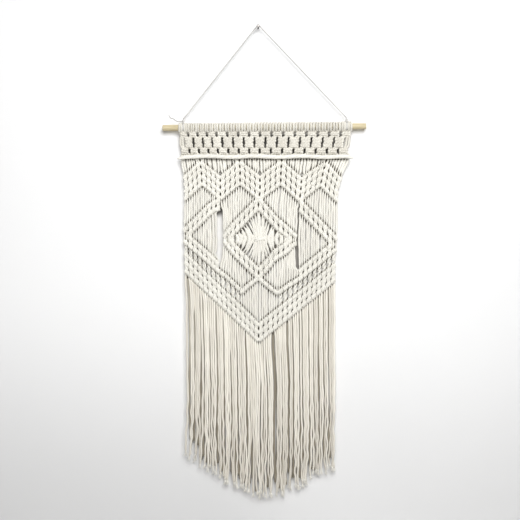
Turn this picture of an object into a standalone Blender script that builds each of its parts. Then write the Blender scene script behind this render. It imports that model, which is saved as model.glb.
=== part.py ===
"""A macrame wall hanging on a wooden dowel, with the nail that it hangs from.

Metres, +Z up, +X to the right of someone who faces the wall. The wall is the plane y = 0 and the hanging is
on its -Y side. The origin is where the nail's axis meets the wall. Heights are given as drops below it.
"""

import math
import random

import bmesh
import bpy

MM = 0.001
CLEAR = 0.3 * MM  # what touching pieces keep between them

# Strands. 64 of them, two from each folded cord, counted from the left.
STRANDS = 64
CORD_THICK = 4.0 * MM
SHEET_Y = -11.5 * MM  # the plane in which the knotting hangs
STRAND_FRONT = SHEET_Y - CORD_THICK / 2
STRAND_BACK = SHEET_Y + CORD_THICK / 2
BAR_CREST = SHEET_Y - 5.2 * MM
BAR_TROUGH = SHEET_Y - 2.6 * MM
BAR_BACK = SHEET_Y + 3.6 * MM
CREST_STEP = 0.6 * MM  # every second strand's wrap stands this much prouder on a bar

# Dowel
DOWEL_RADIUS = 6.0 * MM
DOWEL_LENGTH = 400 * MM
DOWEL_CENTRE_X = 11.7 * MM
DOWEL_DROP = 196.8 * MM
DOWEL_TILT = math.radians(0.5)  # right end higher
DOWEL_EDGE = 0.9 * MM

# Lark's heads round the dowel
HEADS = 32
SLEEVE_INSIDE = DOWEL_RADIUS + CLEAR
SLEEVE_OUTSIDE = 9.0 * MM
SLEEVE_VALLEY = 8.1 * MM
SLEEVE_SIDES = 10
NECK_THICK = 6.0 * MM
SLOT_WIDE = 3.2 * MM  # where a tie sits between the outermost heads and their neighbours
SLOT_AFTER_HEADS = (1, 31)

# Net of square knots: drops of the levels that bound its rows of openings
NET_BOTTOM = 251.3 * MM
NET_ROWS = (
    # first strand boundary, step, upper end, widest point, lower end, full width
    (4, 4, 206.9 * MM, 210.6 * MM, 216.4 * MM, 4.4 * MM),
    (6, 4, 219.6 * MM, 226.8 * MM, 236.0 * MM, 5.6 * MM),
    (4, 4, 238.9 * MM, 244.6 * MM, 250.6 * MM, 4.4 * MM),
)
KNOT_CREST = SHEET_Y - 5.4 * MM
NET_FRONT = SHEET_Y - 2.5 * MM
NET_BACK = SHEET_Y + 3.0 * MM

# Cross cord
CROSS_DROP = 255.6 * MM
CROSS_TALL = 8.0 * MM
CROSS_DEEP = 5.6 * MM
CROSS_ENDS = (-159.0 * MM, 186.5 * MM)
CROSS_END_SAG = 3.6 * MM
CROSS_TAPER = 16 * MM
CROSS_WAVE = 0.9 * MM
CROSS_SIDES = 8
CROSS_STATIONS = 26

# Where the strand boundaries 0, 16, 32, 48 and 64 run, as distances from the nail's axis, level by level
CHART_STRANDS = (0, 16, 32, 48, 64)
CHART_MM = (
    # drop, left edge, first quarter, middle, third quarter, right edge
    (196.8, -156.9, -83.0, 3.3, 94.8, 184.8),
    (204.5, -156.9, -83.0, 3.3, 94.8, 184.8),
    (244.6, -153.9, -79.4, 2.4, 90.6, 177.9),
    (259.5, -152.4, -77.7, 2.6, 89.1, 180.3),
    (285.1, -149.0, -74.7, 2.8, 85.9, 168.5),
    (320.5, -145.5, -74.9, 3.3, 83.4, 157.7),
    (350.0, -146.1, -74.3, 0.0, 80.0, 156.7),
    (418.8, -147.6, -72.3, 0.2, 78.1, 155.3),
    (477.7, -144.9, -76.1, 0.4, 79.2, 151.8),
    (536.7, -140.2, -71.4, 0.4, 76.1, 150.8),
    (624.9, -139.2, -68.0, 0.5, 76.0, 150.8),
    (700.0, -139.2, -66.7, 5.0, 78.0, 150.8),
    (930.0, -139.2, -66.7, 5.0, 78.0, 150.8),
)

# Bars: the drop of each bar's middle and half its height in mm, at strand boundaries, straight between them
TOP_BAR = {"drop": {0: 255.6, 64: 255.6}, "half": {0: 4.0, 64: 4.0}, "rows": 1}
ZIGZAG = {
    "drop": {0: 319.3, 8: 287.1, 16: 317.8, 24: 286.2, 32: 317.8, 40: 286.4, 48: 320.6, 56: 289.0, 64: 322.8},
    "half": {0: 25.4, 64: 25.4},
    "rows": 4,
}
LEFT_ARM = {"drop": {0: 409.7, 10.6: 361.1, 13: 354.0, 16: 348.3}, "half": {0: 13.6, 16: 13.6}, "rows": 2}
RIGHT_ARM = {"drop": {48: 349.8, 49.4: 356.5, 64: 427.0}, "half": {48: 13.6, 64: 13.6}, "rows": 2}
DIAMOND_TOP = {
    "drop": {16: 422.5, 32: 346.8, 39.3: 386.7, 45.5: 411.0, 48: 420.5},
    "half": {16: 13.6, 48: 13.6},
    "rows": 2,
}
DIAMOND_FOOT = {
    "drop": {16: 412.0, 32: 485.7, 35.9: 465.2, 38.6: 448.6, 44.3: 430.8, 48: 417.1},
    "half": {16: 13.6, 48: 13.6},
    "rows": 2,
}
DIAGONALS = {
    "drop": {
        0: 416.5, 2: 419.5, 16: 475.1, 17: 485.5, 25: 521.2, 28: 508.0, 32: 499.5, 34: 502.3, 37: 514.1,
        40: 523.4, 44: 508.8, 47: 499.8, 48: 489.3, 62: 436.2, 64: 433.5,
    },
    "half": {0: 8.5, 2: 13.0, 16: 12.4, 17: 6.5, 28: 6.5, 32: 6.0, 34: 6.5, 47: 6.5, 48: 13.1, 62: 13.3, 64: 8.5},
    "rows": 2,
}
VEE = {"drop": {0: 455.0, 32: 595.3, 64: 474.0}, "half": {0: 16.0, 32: 14.0, 64: 14.0}, "rows": 2}
VEE_LAST_ROW = {"drop": {0: 478.2, 32: 616.5, 64: 495.2}, "half": {0: 6.9, 64: 6.9}, "rows": 1}

SIDE_BARS = (LEFT_ARM, RIGHT_ARM, DIAMOND_TOP, DIAMOND_FOOT)  # these end at the side openings

# Star: the middle strands of the diamond, gathered into one knot, with its wider slits in mm
STAR_STRANDS = (26, 38)
STAR_DROP = 416.5 * MM
STAR_HALF = 9.0 * MM
STAR_SQUEEZE = 0.55  # how near to its middle the knot draws its strands
STAR_CREST = SHEET_Y - 7.5 * MM
STAR_OPENINGS_AT = {21: 4.6, 23: 3.0, 26: 3.0, 28: 2.6, 30: 2.6, 34: 2.6, 36: 2.6, 38: 3.0, 41: 3.0, 43: 4.6}

# Slits between strands that hang free from one bar to the next
SLIT_WIDE = 1.2 * MM
SLIT_LEAST_TALL = 7.0 * MM
LEVEL_STEP = 0.8 * MM
STAR_LEAST_ROOM = 6 * LEVEL_STEP
SIDE_OPENING = 6.0 * MM  # the tall opening beside each side of the diamond
SIDE_OPENINGS_AT = (16, 48)
STRAND_STAGGER = 0.7 * MM

# Fringe
FRINGE_WIDE = 3.4 * MM
FRINGE_DEEP = 3.4 * MM
FRINGE_LEVELS_FROM = 560 * MM
FRINGE_LEVEL_STEP = 80 * MM
FRINGE_ROOT_RUN = 14 * MM
FRINGE_TIP_RUN = 12 * MM
FRINGE_ENDS = {0: 835.6, 10: 874.9, 18: 900.4, 30: 924.0, 40: 918.1, 51: 896.5, 57: 878.8, 64: 869.0}
FRINGE_END_JITTER = 6 * MM
FRINGE_GATHER = 0.13
FRINGE_SWAY = 2.6 * MM
FRINGE_SWAY_LENGTH = 260 * MM
FRINGE_SWAY_PHASE = 0.009  # turns from one strand to the next
FRINGE_DEPTH_SWAY = 1.8 * MM
FRINGE_SEED = 11

# Hanger, its ties and the nail
HANGER_RADIUS = 1.25 * MM
HANGER_LEG_POINTS = 16
HANGER_TURN_POINTS = 5
NAIL_RADIUS = 1.5 * MM
NAIL_OUT = 23 * MM
NAIL_HEAD_RADIUS = 3.2 * MM
NAIL_HEAD_THICK = 1.3 * MM
NAIL_SIDES = 16
TIE_RADIUS = 1.0 * MM
TIE_RING = DOWEL_RADIUS + CLEAR + TIE_RADIUS
TIE_KNOT_SIZE = (2.6 * MM, 2.6 * MM, 4.1 * MM)
TIE_KNOT_ABOVE_AXIS = 11.9 * MM
TIE_TAIL = ((-0.5, -1.5, 0.5), (-4.0, -3.0, 2.2), (-8.5, -2.0, 1.6), (-12.5, -3.0, 5.0), (-17.5, -2.0, 10.5))
TIE_TAIL_RADIUS = 0.9 * MM
TIE_STEPS = 18
WELD = 0.01 * MM

COTTON = (0.86, 0.83, 0.75, 1.0)
COTTON_LOW = (0.78, 0.74, 0.66, 1.0)
HANGER_COTTON = (0.85, 0.84, 0.80, 1.0)
PINE = (0.72, 0.55, 0.33, 1.0)
STEEL = (0.20, 0.19, 0.18, 1.0)


def clear_scene():
    """Removes every object that the scene starts with."""
    for thing in list(bpy.data.objects):
        bpy.data.objects.remove(thing, do_unlink=True)


def material(name, colour, roughness, metallic=0.0):
    """A plain Principled material."""
    made = bpy.data.materials.new(name)
    made.use_nodes = True
    shader = made.node_tree.nodes["Principled BSDF"]
    shader.inputs["Base Color"].default_value = colour
    shader.inputs["Roughness"].default_value = roughness
    shader.inputs["Metallic"].default_value = metallic
    return made


def between(table, at):
    """Reads a table of {place: value} at a place, straight between its entries and flat past its ends."""
    places = sorted(table)
    if at <= places[0]:
        return table[places[0]]
    for low, high in zip(places, places[1:]):
        if at <= high:
            share = (at - low) / (high - low)
            return table[low] + share * (table[high] - table[low])
    return table[places[-1]]


def strand_x(boundary, drop):
    """Where a strand boundary, 0 to 64, runs at a drop below the nail."""
    columns = []
    for column in range(len(CHART_STRANDS)):
        columns.append(between({row[0] * MM: row[column + 1] * MM for row in CHART_MM}, drop))
    return between(dict(zip(CHART_STRANDS, columns)), boundary)


def dowel_drop(x):
    """How far below the nail the dowel's axis is at x."""
    return DOWEL_DROP - math.tan(DOWEL_TILT) * (x - DOWEL_CENTRE_X)


class Shell:
    """Gathers the welded points and outward faces of one closed body."""

    def __init__(self):
        self.points = []
        self.places = {}
        self.faces = []

    def point(self, x, y, drop):
        """The index of the point at x, y and a drop below the nail, made once."""
        key = (round(x * 1e7), round(y * 1e7), round(drop * 1e7))
        if key not in self.places:
            self.places[key] = len(self.points)
            self.points.append((x, y, -drop))
        return self.places[key]

    def face(self, *corners):
        """Adds a face, leaving out corners that coincide."""
        kept = [corner for i, corner in enumerate(corners) if corner != corners[i - 1]]
        if len(kept) > 2:
            self.faces.append(kept)

    def strip(self, first, second):
        """Triangles between two lines of points that go down. From outside, the first is on the left."""
        i, j = 0, 0
        while i < len(first) - 1 or j < len(second) - 1:
            if j == len(second) - 1 or (i < len(first) - 1 and (i + 1) * len(second) <= (j + 1) * len(first)):
                self.face(first[i], first[i + 1], second[j])
                i += 1
            else:
                self.face(first[i], second[j + 1], second[j])
                j += 1

    def stretch(self, left, right, left_open, right_open):
        """Closes a stretch between two sides, each (front line, back line). An open side gets a wall."""
        self.strip(left[0], right[0])
        self.strip(right[1], left[1])
        if left_open:
            self.strip(left[1], left[0])
        if right_open:
            self.strip(right[0], right[1])

    def lid(self, left, right, top):
        """The small face that closes a stretch at its upper or lower end."""
        level = 0 if top else -1
        corners = [left[0][level], right[0][level], right[1][level], left[1][level]]
        self.face(*(reversed(corners) if top else corners))

    def rings(self, rings):
        """Faces between rings of as many points, and a lid on each end."""
        for ring, after in zip(rings, rings[1:]):
            for side in range(len(ring)):
                other = (side + 1) % len(ring)
                self.face(ring[side], ring[other], after[other], after[side])
        self.face(*rings[0])
        self.face(*reversed(rings[-1]))

    def body(self, name, finish, smooth_below=None):
        """The finished object, with its faces turned outward."""
        mesh = bpy.data.meshes.new(name)
        mesh.from_pydata(self.points, [], self.faces)
        work = bmesh.new()
        work.from_mesh(mesh)
        bmesh.ops.triangulate(work, faces=work.faces[:])
        bmesh.ops.recalc_face_normals(work, faces=work.faces[:])
        work.to_mesh(mesh)
        work.free()
        if smooth_below:
            mesh.shade_smooth()
            mesh.set_sharp_from_angle(angle=smooth_below)
        mesh.materials.append(finish)
        made = bpy.data.objects.new(name, mesh)
        bpy.context.scene.collection.objects.link(made)
        return made


def bar_ends(bar, boundary):
    """The drops of a bar's upper and lower edge at a strand boundary."""
    middle = between(bar["drop"], boundary) * MM
    half = between(bar["half"], boundary) * MM
    return [middle - half, middle + half]


def spaced(bars, edges, least):
    """Parts neighbouring bars that run into each other. A bar that runs right across keeps its place."""
    for upper, lower, pair, below in zip(bars, bars[1:], edges, edges[1:]):
        if below[0] >= pair[1] + least:
            continue
        if upper in SIDE_BARS and lower in SIDE_BARS:
            middle = (pair[1] + below[0]) / 2
            pair[1], below[0] = middle - least / 2, middle + least / 2
        elif upper in SIDE_BARS:
            pair[1] = below[0] - least
        else:
            below[0] = pair[1] + least
    return edges


def ridge_line(shell, boundary, edges, rows, shift=0.0):
    """Front and back points of a bar at one boundary, with a crest for each row of hitches."""
    top, bottom = edges
    crest = BAR_CREST - (CREST_STEP if boundary % 2 else 0.0)
    front = []
    for level in range(2 * rows + 1):
        drop = top + (bottom - top) * level / (2 * rows)
        front.append(shell.point(strand_x(boundary, drop) + shift, crest if level % 2 else BAR_TROUGH, drop))
    back = [shell.point(strand_x(boundary, drop) + shift, BAR_BACK, drop) for drop in (top, bottom)]
    return front, back


def free_line(shell, above, below, x, drop, stagger):
    """A free stretch's side: from the bar above, through its middle, to the bar below."""
    front = [above[0][-1], shell.point(x, STRAND_FRONT + stagger, drop), below[0][0]]
    back = [above[1][-1], shell.point(x, STRAND_BACK + stagger, drop), below[1][0]]
    return front, back


def side_shift(strand, boundary, width):
    """Half a slit's width, to the left on the slit's left side and to the right on its right side."""
    return width / 2 if strand == boundary else -width / 2


def panel_bars(strand):
    """The bars that a strand passes, from top to bottom."""
    if strand < 16:
        return [TOP_BAR, ZIGZAG, LEFT_ARM, DIAGONALS, VEE]
    if strand >= 48:
        return [TOP_BAR, ZIGZAG, RIGHT_ARM, DIAGONALS, VEE]
    return [TOP_BAR, ZIGZAG, DIAMOND_TOP, DIAMOND_FOOT, DIAGONALS, VEE]


def star_x(strand):
    """How the knot of the star draws its own strands together."""

    def placed(boundary, drop):
        x = strand_x(boundary, drop)
        if not STAR_STRANDS[0] <= strand < STAR_STRANDS[1]:
            return x
        middle = strand_x(STRANDS // 2, drop)
        return middle + (x - middle) * STAR_SQUEEZE

    return placed


def star_side(shell, strand, boundary, above, below, room):
    """One side of a strand inside the diamond: down to the star, across it and down to the diamond's foot.

    Returns its three stretches and whether each is open to its neighbour.
    """
    gathered = STAR_STRANDS[0] <= strand < STAR_STRANDS[1]
    inside = STAR_STRANDS[0] < boundary < STAR_STRANDS[1]
    top, bottom = room
    middle = STAR_DROP if gathered else (top + bottom) / 2
    half = STAR_HALF if gathered else (bottom - top) / 10
    edges = [middle - half, middle + half]
    place = star_x(strand)
    slit = bottom - top > 2 * SLIT_LEAST_TALL
    width = STAR_OPENINGS_AT[boundary] * MM if boundary in STAR_OPENINGS_AT else SLIT_WIDE
    if gathered and not inside:
        width = SLIT_WIDE
    shift = side_shift(strand, boundary, width) if slit else 0.0
    knot_shift = 0.0 if gathered else shift
    front = []
    crest = STAR_CREST if gathered else STRAND_FRONT
    for drop, y in ((edges[0], STRAND_FRONT), (middle, crest), (edges[1], STRAND_FRONT)):
        front.append(shell.point(place(boundary, drop) + knot_shift, y, drop))
    back = [shell.point(place(boundary, drop) + knot_shift, STRAND_BACK, drop) for drop in edges]
    knot = (front, back)
    stretches = []
    for upper, lower, first, second in ((above, knot, top, edges[0]), (knot, below, edges[1], bottom)):
        drop = (first + second) / 2
        x = (strand_x(boundary, drop) + place(boundary, drop)) / 2 + shift
        stretches.append(free_line(shell, upper, lower, x, drop, 0.0))
    return [stretches[0], knot, stretches[1]], [slit, slit and not inside, slit]


def bar_edges(bars, boundary):
    """The upper and lower edges of every bar at a strand boundary, kept apart from each other."""
    edges = spaced(bars, [bar_ends(bar, boundary) for bar in bars], LEVEL_STEP)
    if DIAMOND_FOOT in bars:
        top, foot = edges[bars.index(DIAMOND_TOP)], edges[bars.index(DIAMOND_FOOT)]
        if foot[0] - top[1] < STAR_LEAST_ROOM:
            middle = (top[1] + foot[0]) / 2
            top[1], foot[0] = middle - STAR_LEAST_ROOM / 2, middle + STAR_LEAST_ROOM / 2
    return edges


def strand_sides(shell, strand, boundary):
    """All stretches of one side of a strand, with whether each is open to its neighbour."""
    bars = panel_bars(strand)
    edges = bar_edges(bars, boundary)
    rim = boundary in (0, STRANDS)
    parted = [boundary in SIDE_OPENINGS_AT and bar in SIDE_BARS for bar in bars]
    lines = []
    for bar, pair, apart in zip(bars, edges, parted):
        shift = side_shift(strand, boundary, SIDE_OPENING) if apart else 0.0
        lines.append(ridge_line(shell, boundary, pair, bar["rows"], shift))
    stretches, opened = [lines[0]], [rim]
    for number in range(1, len(bars)):
        above, below = lines[number - 1], lines[number]
        room = (edges[number - 1][1], edges[number][0])
        beside = parted[number - 1] or parted[number]
        if bars[number] is DIAMOND_FOOT:
            more, more_open = star_side(shell, strand, boundary, above, below, room)
            stretches += more
            opened += [True] * len(more) if beside else more_open
        else:
            slit = rim or beside or room[1] - room[0] > SLIT_LEAST_TALL
            width = SIDE_OPENING if beside else SLIT_WIDE if slit and not rim else 0.0
            drop = sum(room) / 2
            x = strand_x(boundary, drop) + side_shift(strand, boundary, width)
            stagger = STRAND_STAGGER * (1 if strand % 2 else -1) if slit else 0.0
            stretches.append(free_line(shell, above, below, x, drop, stagger))
            opened.append(slit)
        stretches.append(below)
        opened.append(rim or parted[number])
    return stretches, opened


def make_panel(finish):
    """The knotted body, from the cross cord to the second row of the V."""
    shell = Shell()
    for strand in range(STRANDS):
        left, left_open = strand_sides(shell, strand, strand)
        right, right_open = strand_sides(shell, strand, strand + 1)
        for left_piece, right_piece, opened_left, opened_right in zip(left, right, left_open, right_open):
            shell.stretch(left_piece, right_piece, opened_left, opened_right)
        shell.lid(left[0], right[0], top=True)
        shell.lid(left[-1], right[-1], top=False)
    return shell.body("panel", finish)


def sleeve_ring(shell, x, outside):
    """Outer and inner points of the heads round the dowel at x, from the front over the top to the back."""
    axis = dowel_drop(x)
    first = math.asin(NECK_THICK / 2 / SLEEVE_OUTSIDE)
    step = (2 * math.pi - 2 * first) / (SLEEVE_SIDES - 1)
    inside = SLEEVE_INSIDE / math.cos(step / 2)
    outer, inner = [], []
    for number in range(SLEEVE_SIDES):
        angle = first + number * step
        radius = SLEEVE_OUTSIDE if number in (0, SLEEVE_SIDES - 1) else outside
        outer.append(shell.point(x, SHEET_Y - radius * math.sin(angle), axis + radius * math.cos(angle)))
        inner.append(shell.point(x, SHEET_Y - inside * math.sin(angle), axis + inside * math.cos(angle)))
    return outer, inner


def net_levels():
    """The drops of the net's levels below the sleeve, with the row of openings that each belongs to."""
    levels = []
    for number, (_, _, upper, middle, lower, _) in enumerate(NET_ROWS):
        levels += [(upper, number, "end"), (middle, number, "middle"), (lower, number, "end")]
    levels.append((NET_BOTTOM, len(NET_ROWS), "end"))
    return levels


def net_side(shell, boundary, side, neck, slot_shift):
    """One side of a pair of strands down the net, and whether each of its steps borders an opening."""
    front, back, opened = [neck[0]], [neck[1]], []
    for drop, row, kind in net_levels():
        x = strand_x(boundary, drop) + slot_shift
        y = NET_FRONT
        has_opening = False
        if row < len(NET_ROWS):
            first, step, _, _, _, width = NET_ROWS[row]
            has_opening = boundary >= first and boundary <= STRANDS - first and (boundary - first) % step == 0
            if kind == "middle":
                x += side * width / 2 if has_opening else 0.0
                y = NET_FRONT if has_opening else KNOT_CREST
        front.append(shell.point(x, y, drop))
        back.append(shell.point(x, NET_BACK, drop))
        opened.append(has_opening and kind == "middle")
    steps = [opened[i] or (i > 0 and opened[i - 1]) for i in range(len(opened))]
    return front, back, steps


def head_faces(shell, rings, starts_here, ends_here):
    """The faces of one lark's head: its ridge, its bore, and its side where it stands free."""
    for (outer, _), (next_outer, _) in zip(rings, rings[1:]):
        for number in range(SLEEVE_SIDES - 1):
            shell.face(outer[number], next_outer[number], next_outer[number + 1], outer[number + 1])
    inner, next_inner = rings[0][1], rings[2][1]
    for number in range(SLEEVE_SIDES):
        after = (number + 1) % SLEEVE_SIDES
        shell.face(inner[number], inner[after], next_inner[after], next_inner[number])
        for free, (rim, bore) in ((starts_here, rings[0]), (ends_here, rings[2])):
            if free:
                shell.face(rim[number], rim[after], bore[after], bore[number])


def neck_faces(shell, left, middle, right):
    """The faces between a lark's head, which has a point in its middle, and the net's first level."""
    for side in (0, 1):
        shell.face(left[side][0], left[side][1], middle[side])
        shell.face(middle[side], left[side][1], right[side][1])
        shell.face(middle[side], right[side][1], right[side][0])


def make_heading(finish):
    """Lark's heads round the dowel, and the net of square knots under them."""
    shell = Shell()
    previous = None
    for head in range(HEADS):
        after_slot, before_slot = head in SLOT_AFTER_HEADS, head + 1 in SLOT_AFTER_HEADS
        shift_left = SLOT_WIDE / 2 if after_slot else 0.0
        shift_right = -SLOT_WIDE / 2 if before_slot else 0.0
        left_x = strand_x(2 * head, DOWEL_DROP) + shift_left
        right_x = strand_x(2 * head + 2, DOWEL_DROP) + shift_right
        rings = [
            sleeve_ring(shell, left_x, SLEEVE_VALLEY),
            sleeve_ring(shell, (left_x + right_x) / 2, SLEEVE_OUTSIDE),
            sleeve_ring(shell, right_x, SLEEVE_VALLEY),
        ]
        head_faces(shell, rings, head == 0 or after_slot, head == HEADS - 1 or before_slot)
        necks = [(outer[0], outer[-1]) for outer, _ in rings]
        left = net_side(shell, 2 * head, 1, necks[0], shift_left)
        right = net_side(shell, 2 * head + 2, -1, necks[2], shift_right)
        neck_faces(shell, left, necks[1], right)
        net_piece(shell, left, right, head == 0, head == HEADS - 1)
        if after_slot:
            slot_piece(shell, previous, left)
        previous = right
    return shell.body("heading", finish)


def net_piece(shell, left, right, rim_left, rim_right):
    """The faces of one pair of strands down the net, under its neck."""
    for step in range(1, len(left[0]) - 1):
        sides = [(side[0][step:step + 2], side[1][step:step + 2]) for side in (left, right)]
        shell.stretch(sides[0], sides[1], rim_left or left[2][step], rim_right or right[2][step])
    if rim_left:
        shell.strip([left[1][0], left[1][1]], [left[0][0], left[0][1]])
    if rim_right:
        shell.strip([right[0][0], right[0][1]], [right[1][0], right[1][1]])
    shell.face(left[0][-1], left[1][-1], right[1][-1], right[0][-1])


def slot_piece(shell, left, right):
    """The narrow stretch of net under a tie, between two lark's heads, closed on top."""
    for step in range(len(left[0]) - 1):
        sides = [(side[0][step:step + 2], side[1][step:step + 2]) for side in (left, right)]
        shell.stretch(sides[0], sides[1], False, False)
    shell.face(left[0][0], right[0][0], right[1][0], left[1][0])
    shell.face(left[0][-1], left[1][-1], right[1][-1], right[0][-1])


def make_fringe(finish):
    """The last row of the V as a ridged backing, and the strands that hang from it."""
    shell = Shell()
    draw = random.Random(FRINGE_SEED)
    clumps = []
    while len(clumps) < STRANDS:
        size = draw.randint(2, 5)
        centre = len(clumps) + size / 2
        clumps += [centre] * size
    depth_turns = [draw.uniform(0, 1) for _ in range(STRANDS)]
    jitters = [draw.uniform(-1, 1) * FRINGE_END_JITTER for _ in range(STRANDS)]
    for strand in range(STRANDS):
        lines = [
            ridge_line(shell, boundary, bar_ends(VEE_LAST_ROW, boundary), VEE_LAST_ROW["rows"])
            for boundary in (strand, strand + 1)
        ]
        shell.stretch(lines[0], lines[1], strand == 0, strand == STRANDS - 1)
        shell.lid(lines[0], lines[1], top=True)
        hang_strand(shell, strand, lines, clumps[strand], depth_turns[strand], jitters[strand])
    return shell.body("fringe", finish)


def hang_strand(shell, strand, lines, clump, depth_turn, jitter):
    """One fringe strand of four sides, from its root on the backing to its cut end."""
    root = max(bar_ends(VEE_LAST_ROW, strand + side)[1] for side in (0, 1))
    end = between(FRINGE_ENDS, strand + 0.5) * MM + jitter
    drops = [root + FRINGE_ROOT_RUN]
    level = FRINGE_LEVELS_FROM
    while level < end - FRINGE_TIP_RUN:
        if level > drops[0] + FRINGE_ROOT_RUN:
            drops.append(level)
        level += FRINGE_LEVEL_STEP
    drops.append(end)
    sides = [([line[0][-1]], [line[1][-1]]) for line in lines]
    for drop in drops:
        down = min(1.0, (drop - root) / (FRINGE_LEVEL_STEP * 2))
        gathered = (strand + 0.5) + (min(clump, STRANDS) - strand - 0.5) * FRINGE_GATHER * down
        turn = drop / FRINGE_SWAY_LENGTH + strand * FRINGE_SWAY_PHASE
        x = strand_x(gathered, drop) + FRINGE_SWAY * down * math.sin(2 * math.pi * turn)
        depth = FRINGE_DEPTH_SWAY * down * math.sin(2 * math.pi * (drop / FRINGE_SWAY_LENGTH + depth_turn))
        for side, (front, back) in zip((-1, 1), sides):
            place = x + side * FRINGE_WIDE / 2
            front.append(shell.point(place, SHEET_Y + depth - FRINGE_DEEP / 2, drop))
            back.append(shell.point(place, SHEET_Y + depth + FRINGE_DEEP / 2, drop))
    shell.stretch(sides[0], sides[1], True, True)
    shell.lid(sides[0], sides[1], top=False)


def make_cross_cord(finish):
    """The thick smooth cord across, under the net, with tapered ends that hang a little."""
    shell = Shell()
    rings = []
    first, last = CROSS_ENDS
    for station in range(CROSS_STATIONS + 1):
        share = station / CROSS_STATIONS
        x = first + share * (last - first)
        from_end = min(x - first, last - x)
        fall = max(0.0, 1 - from_end / CROSS_TAPER)
        size = 1 - 0.72 * fall * fall
        drop = CROSS_DROP + CROSS_WAVE * math.sin(7.5 * math.pi * share + 0.6) + CROSS_END_SAG * fall
        y = BAR_CREST - CREST_STEP - CLEAR - CROSS_DEEP / 2
        ring = []
        for side in range(CROSS_SIDES):
            angle = 2 * math.pi * (side + 0.5) / CROSS_SIDES
            out = CROSS_DEEP / 2 * size * math.cos(angle)
            ring.append(shell.point(x, y - out, drop + CROSS_TALL / 2 * size * math.sin(angle)))
        rings.append(ring)
    shell.rings(rings)
    return shell.body("cross_cord", finish, math.radians(60))


def make_dowel(finish):
    """The round wooden rod, its ends a little softened."""
    work = bmesh.new()
    bmesh.ops.create_cone(
        work, cap_ends=True, segments=24, radius1=DOWEL_RADIUS, radius2=DOWEL_RADIUS, depth=DOWEL_LENGTH
    )
    rims = [edge for edge in work.edges if abs(edge.verts[0].co.z - edge.verts[1].co.z) < DOWEL_EDGE]
    bmesh.ops.bevel(work, geom=rims, offset=DOWEL_EDGE, segments=1, affect="EDGES")
    mesh = bpy.data.meshes.new("dowel")
    work.to_mesh(mesh)
    work.free()
    mesh.shade_smooth()
    mesh.set_sharp_from_angle(angle=math.radians(40))
    mesh.materials.append(finish)
    made = bpy.data.objects.new("dowel", mesh)
    made.location = (DOWEL_CENTRE_X, SHEET_Y, -DOWEL_DROP)
    made.rotation_euler = (0.0, math.pi / 2 - DOWEL_TILT, 0.0)
    bpy.context.scene.collection.objects.link(made)
    return made


def make_nail(finish):
    """The nail: a shank cut flat at the wall and a round head."""
    shell = Shell()
    rings = []
    head_back = -(NAIL_OUT - NAIL_HEAD_THICK)
    profile = (
        (0.0, NAIL_RADIUS),
        (head_back, NAIL_RADIUS),
        (head_back, NAIL_HEAD_RADIUS),
        (-NAIL_OUT + 0.4 * MM, NAIL_HEAD_RADIUS),
        (-NAIL_OUT, NAIL_HEAD_RADIUS - 0.8 * MM),
    )
    for y, radius in profile:
        turn = [2 * math.pi * side / NAIL_SIDES for side in range(NAIL_SIDES)]
        rings.append([shell.point(radius * math.cos(a), y, radius * math.sin(a)) for a in turn])
    shell.rings(rings)
    return shell.body("nail", finish, math.radians(40))


def tie_x(side):
    """Where a tie goes round the dowel: between the outermost lark's head and its neighbour."""
    return strand_x(2 * SLOT_AFTER_HEADS[0 if side < 0 else 1], DOWEL_DROP)


def hanger_foot(side):
    """Where a leg of the hanger comes out of its tie's knot, as (x, height)."""
    x = tie_x(side)
    top = -dowel_drop(x) + TIE_KNOT_ABOVE_AXIS + TIE_KNOT_SIZE[2] + CLEAR + HANGER_RADIUS / 2
    return x, top


def hanger_route():
    """The hanger cord's centreline: up one leg, round the nail and down the other."""
    bend = NAIL_RADIUS + CLEAR + HANGER_RADIUS
    legs = []
    for side in (-1, 1):
        x, top = hanger_foot(side)
        away = math.hypot(x, top)
        lean = math.atan2(x * side, -top)
        touch = lean + math.acos(bend / away)
        legs.append(((x, top), touch))
    route = []
    (x, top), touch = legs[0]
    start = (-bend * math.sin(touch), -bend * math.cos(touch))
    for step in range(HANGER_LEG_POINTS):
        share = step / HANGER_LEG_POINTS
        route.append((x + share * (start[0] - x), top + share * (start[1] - top)))
    sweep = 2 * math.pi - touch - legs[1][1]
    for step in range(HANGER_TURN_POINTS + 1):
        angle = -touch - sweep * step / HANGER_TURN_POINTS
        route.append((bend * math.sin(angle), -bend * math.cos(angle)))
    (x, top), _ = legs[1]
    end = route[-1]
    for step in range(1, HANGER_LEG_POINTS + 1):
        share = step / HANGER_LEG_POINTS
        route.append((end[0] + share * (x - end[0]), end[1] + share * (top - end[1])))
    return [(x, SHEET_Y, z) for x, z in route]


def smooth_route(points, steps):
    """Points of a smooth curve through the given ones."""
    padded = [points[0], *points, points[-1]]
    route = []
    for a, b, c, d in zip(padded, padded[1:], padded[2:], padded[3:]):
        for step in range(steps):
            t = step / steps
            weights = (2 * t**2 - t**3 - t, 2 - 5 * t**2 + 3 * t**3, t + 4 * t**2 - 3 * t**3, t**3 - t**2)
            columns = zip(a, b, c, d)
            route.append(tuple(sum(w * part for w, part in zip(weights, column)) / 2 for column in columns))
    route.append(points[-1])
    return route


def cord_curve(name, route, radius):
    """A curve object of eight sides with closed ends, along a list of points."""
    line = bpy.data.curves.new(name, "CURVE")
    line.dimensions = "3D"
    line.bevel_depth = radius
    line.bevel_resolution = 2
    line.use_fill_caps = True
    spline = line.splines.new("POLY")
    spline.points.add(len(route) - 1)
    for point, place in zip(spline.points, route):
        point.co = (*place, 1.0)
    made = bpy.data.objects.new(name, line)
    bpy.context.scene.collection.objects.link(made)
    return made


def make_hanger(finish):
    """The thin hanger cord, up to the nail and down again."""
    hanger = cord_curve("hanger_cord", hanger_route(), HANGER_RADIUS)
    hanger.data.materials.append(finish)
    return hanger


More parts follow.
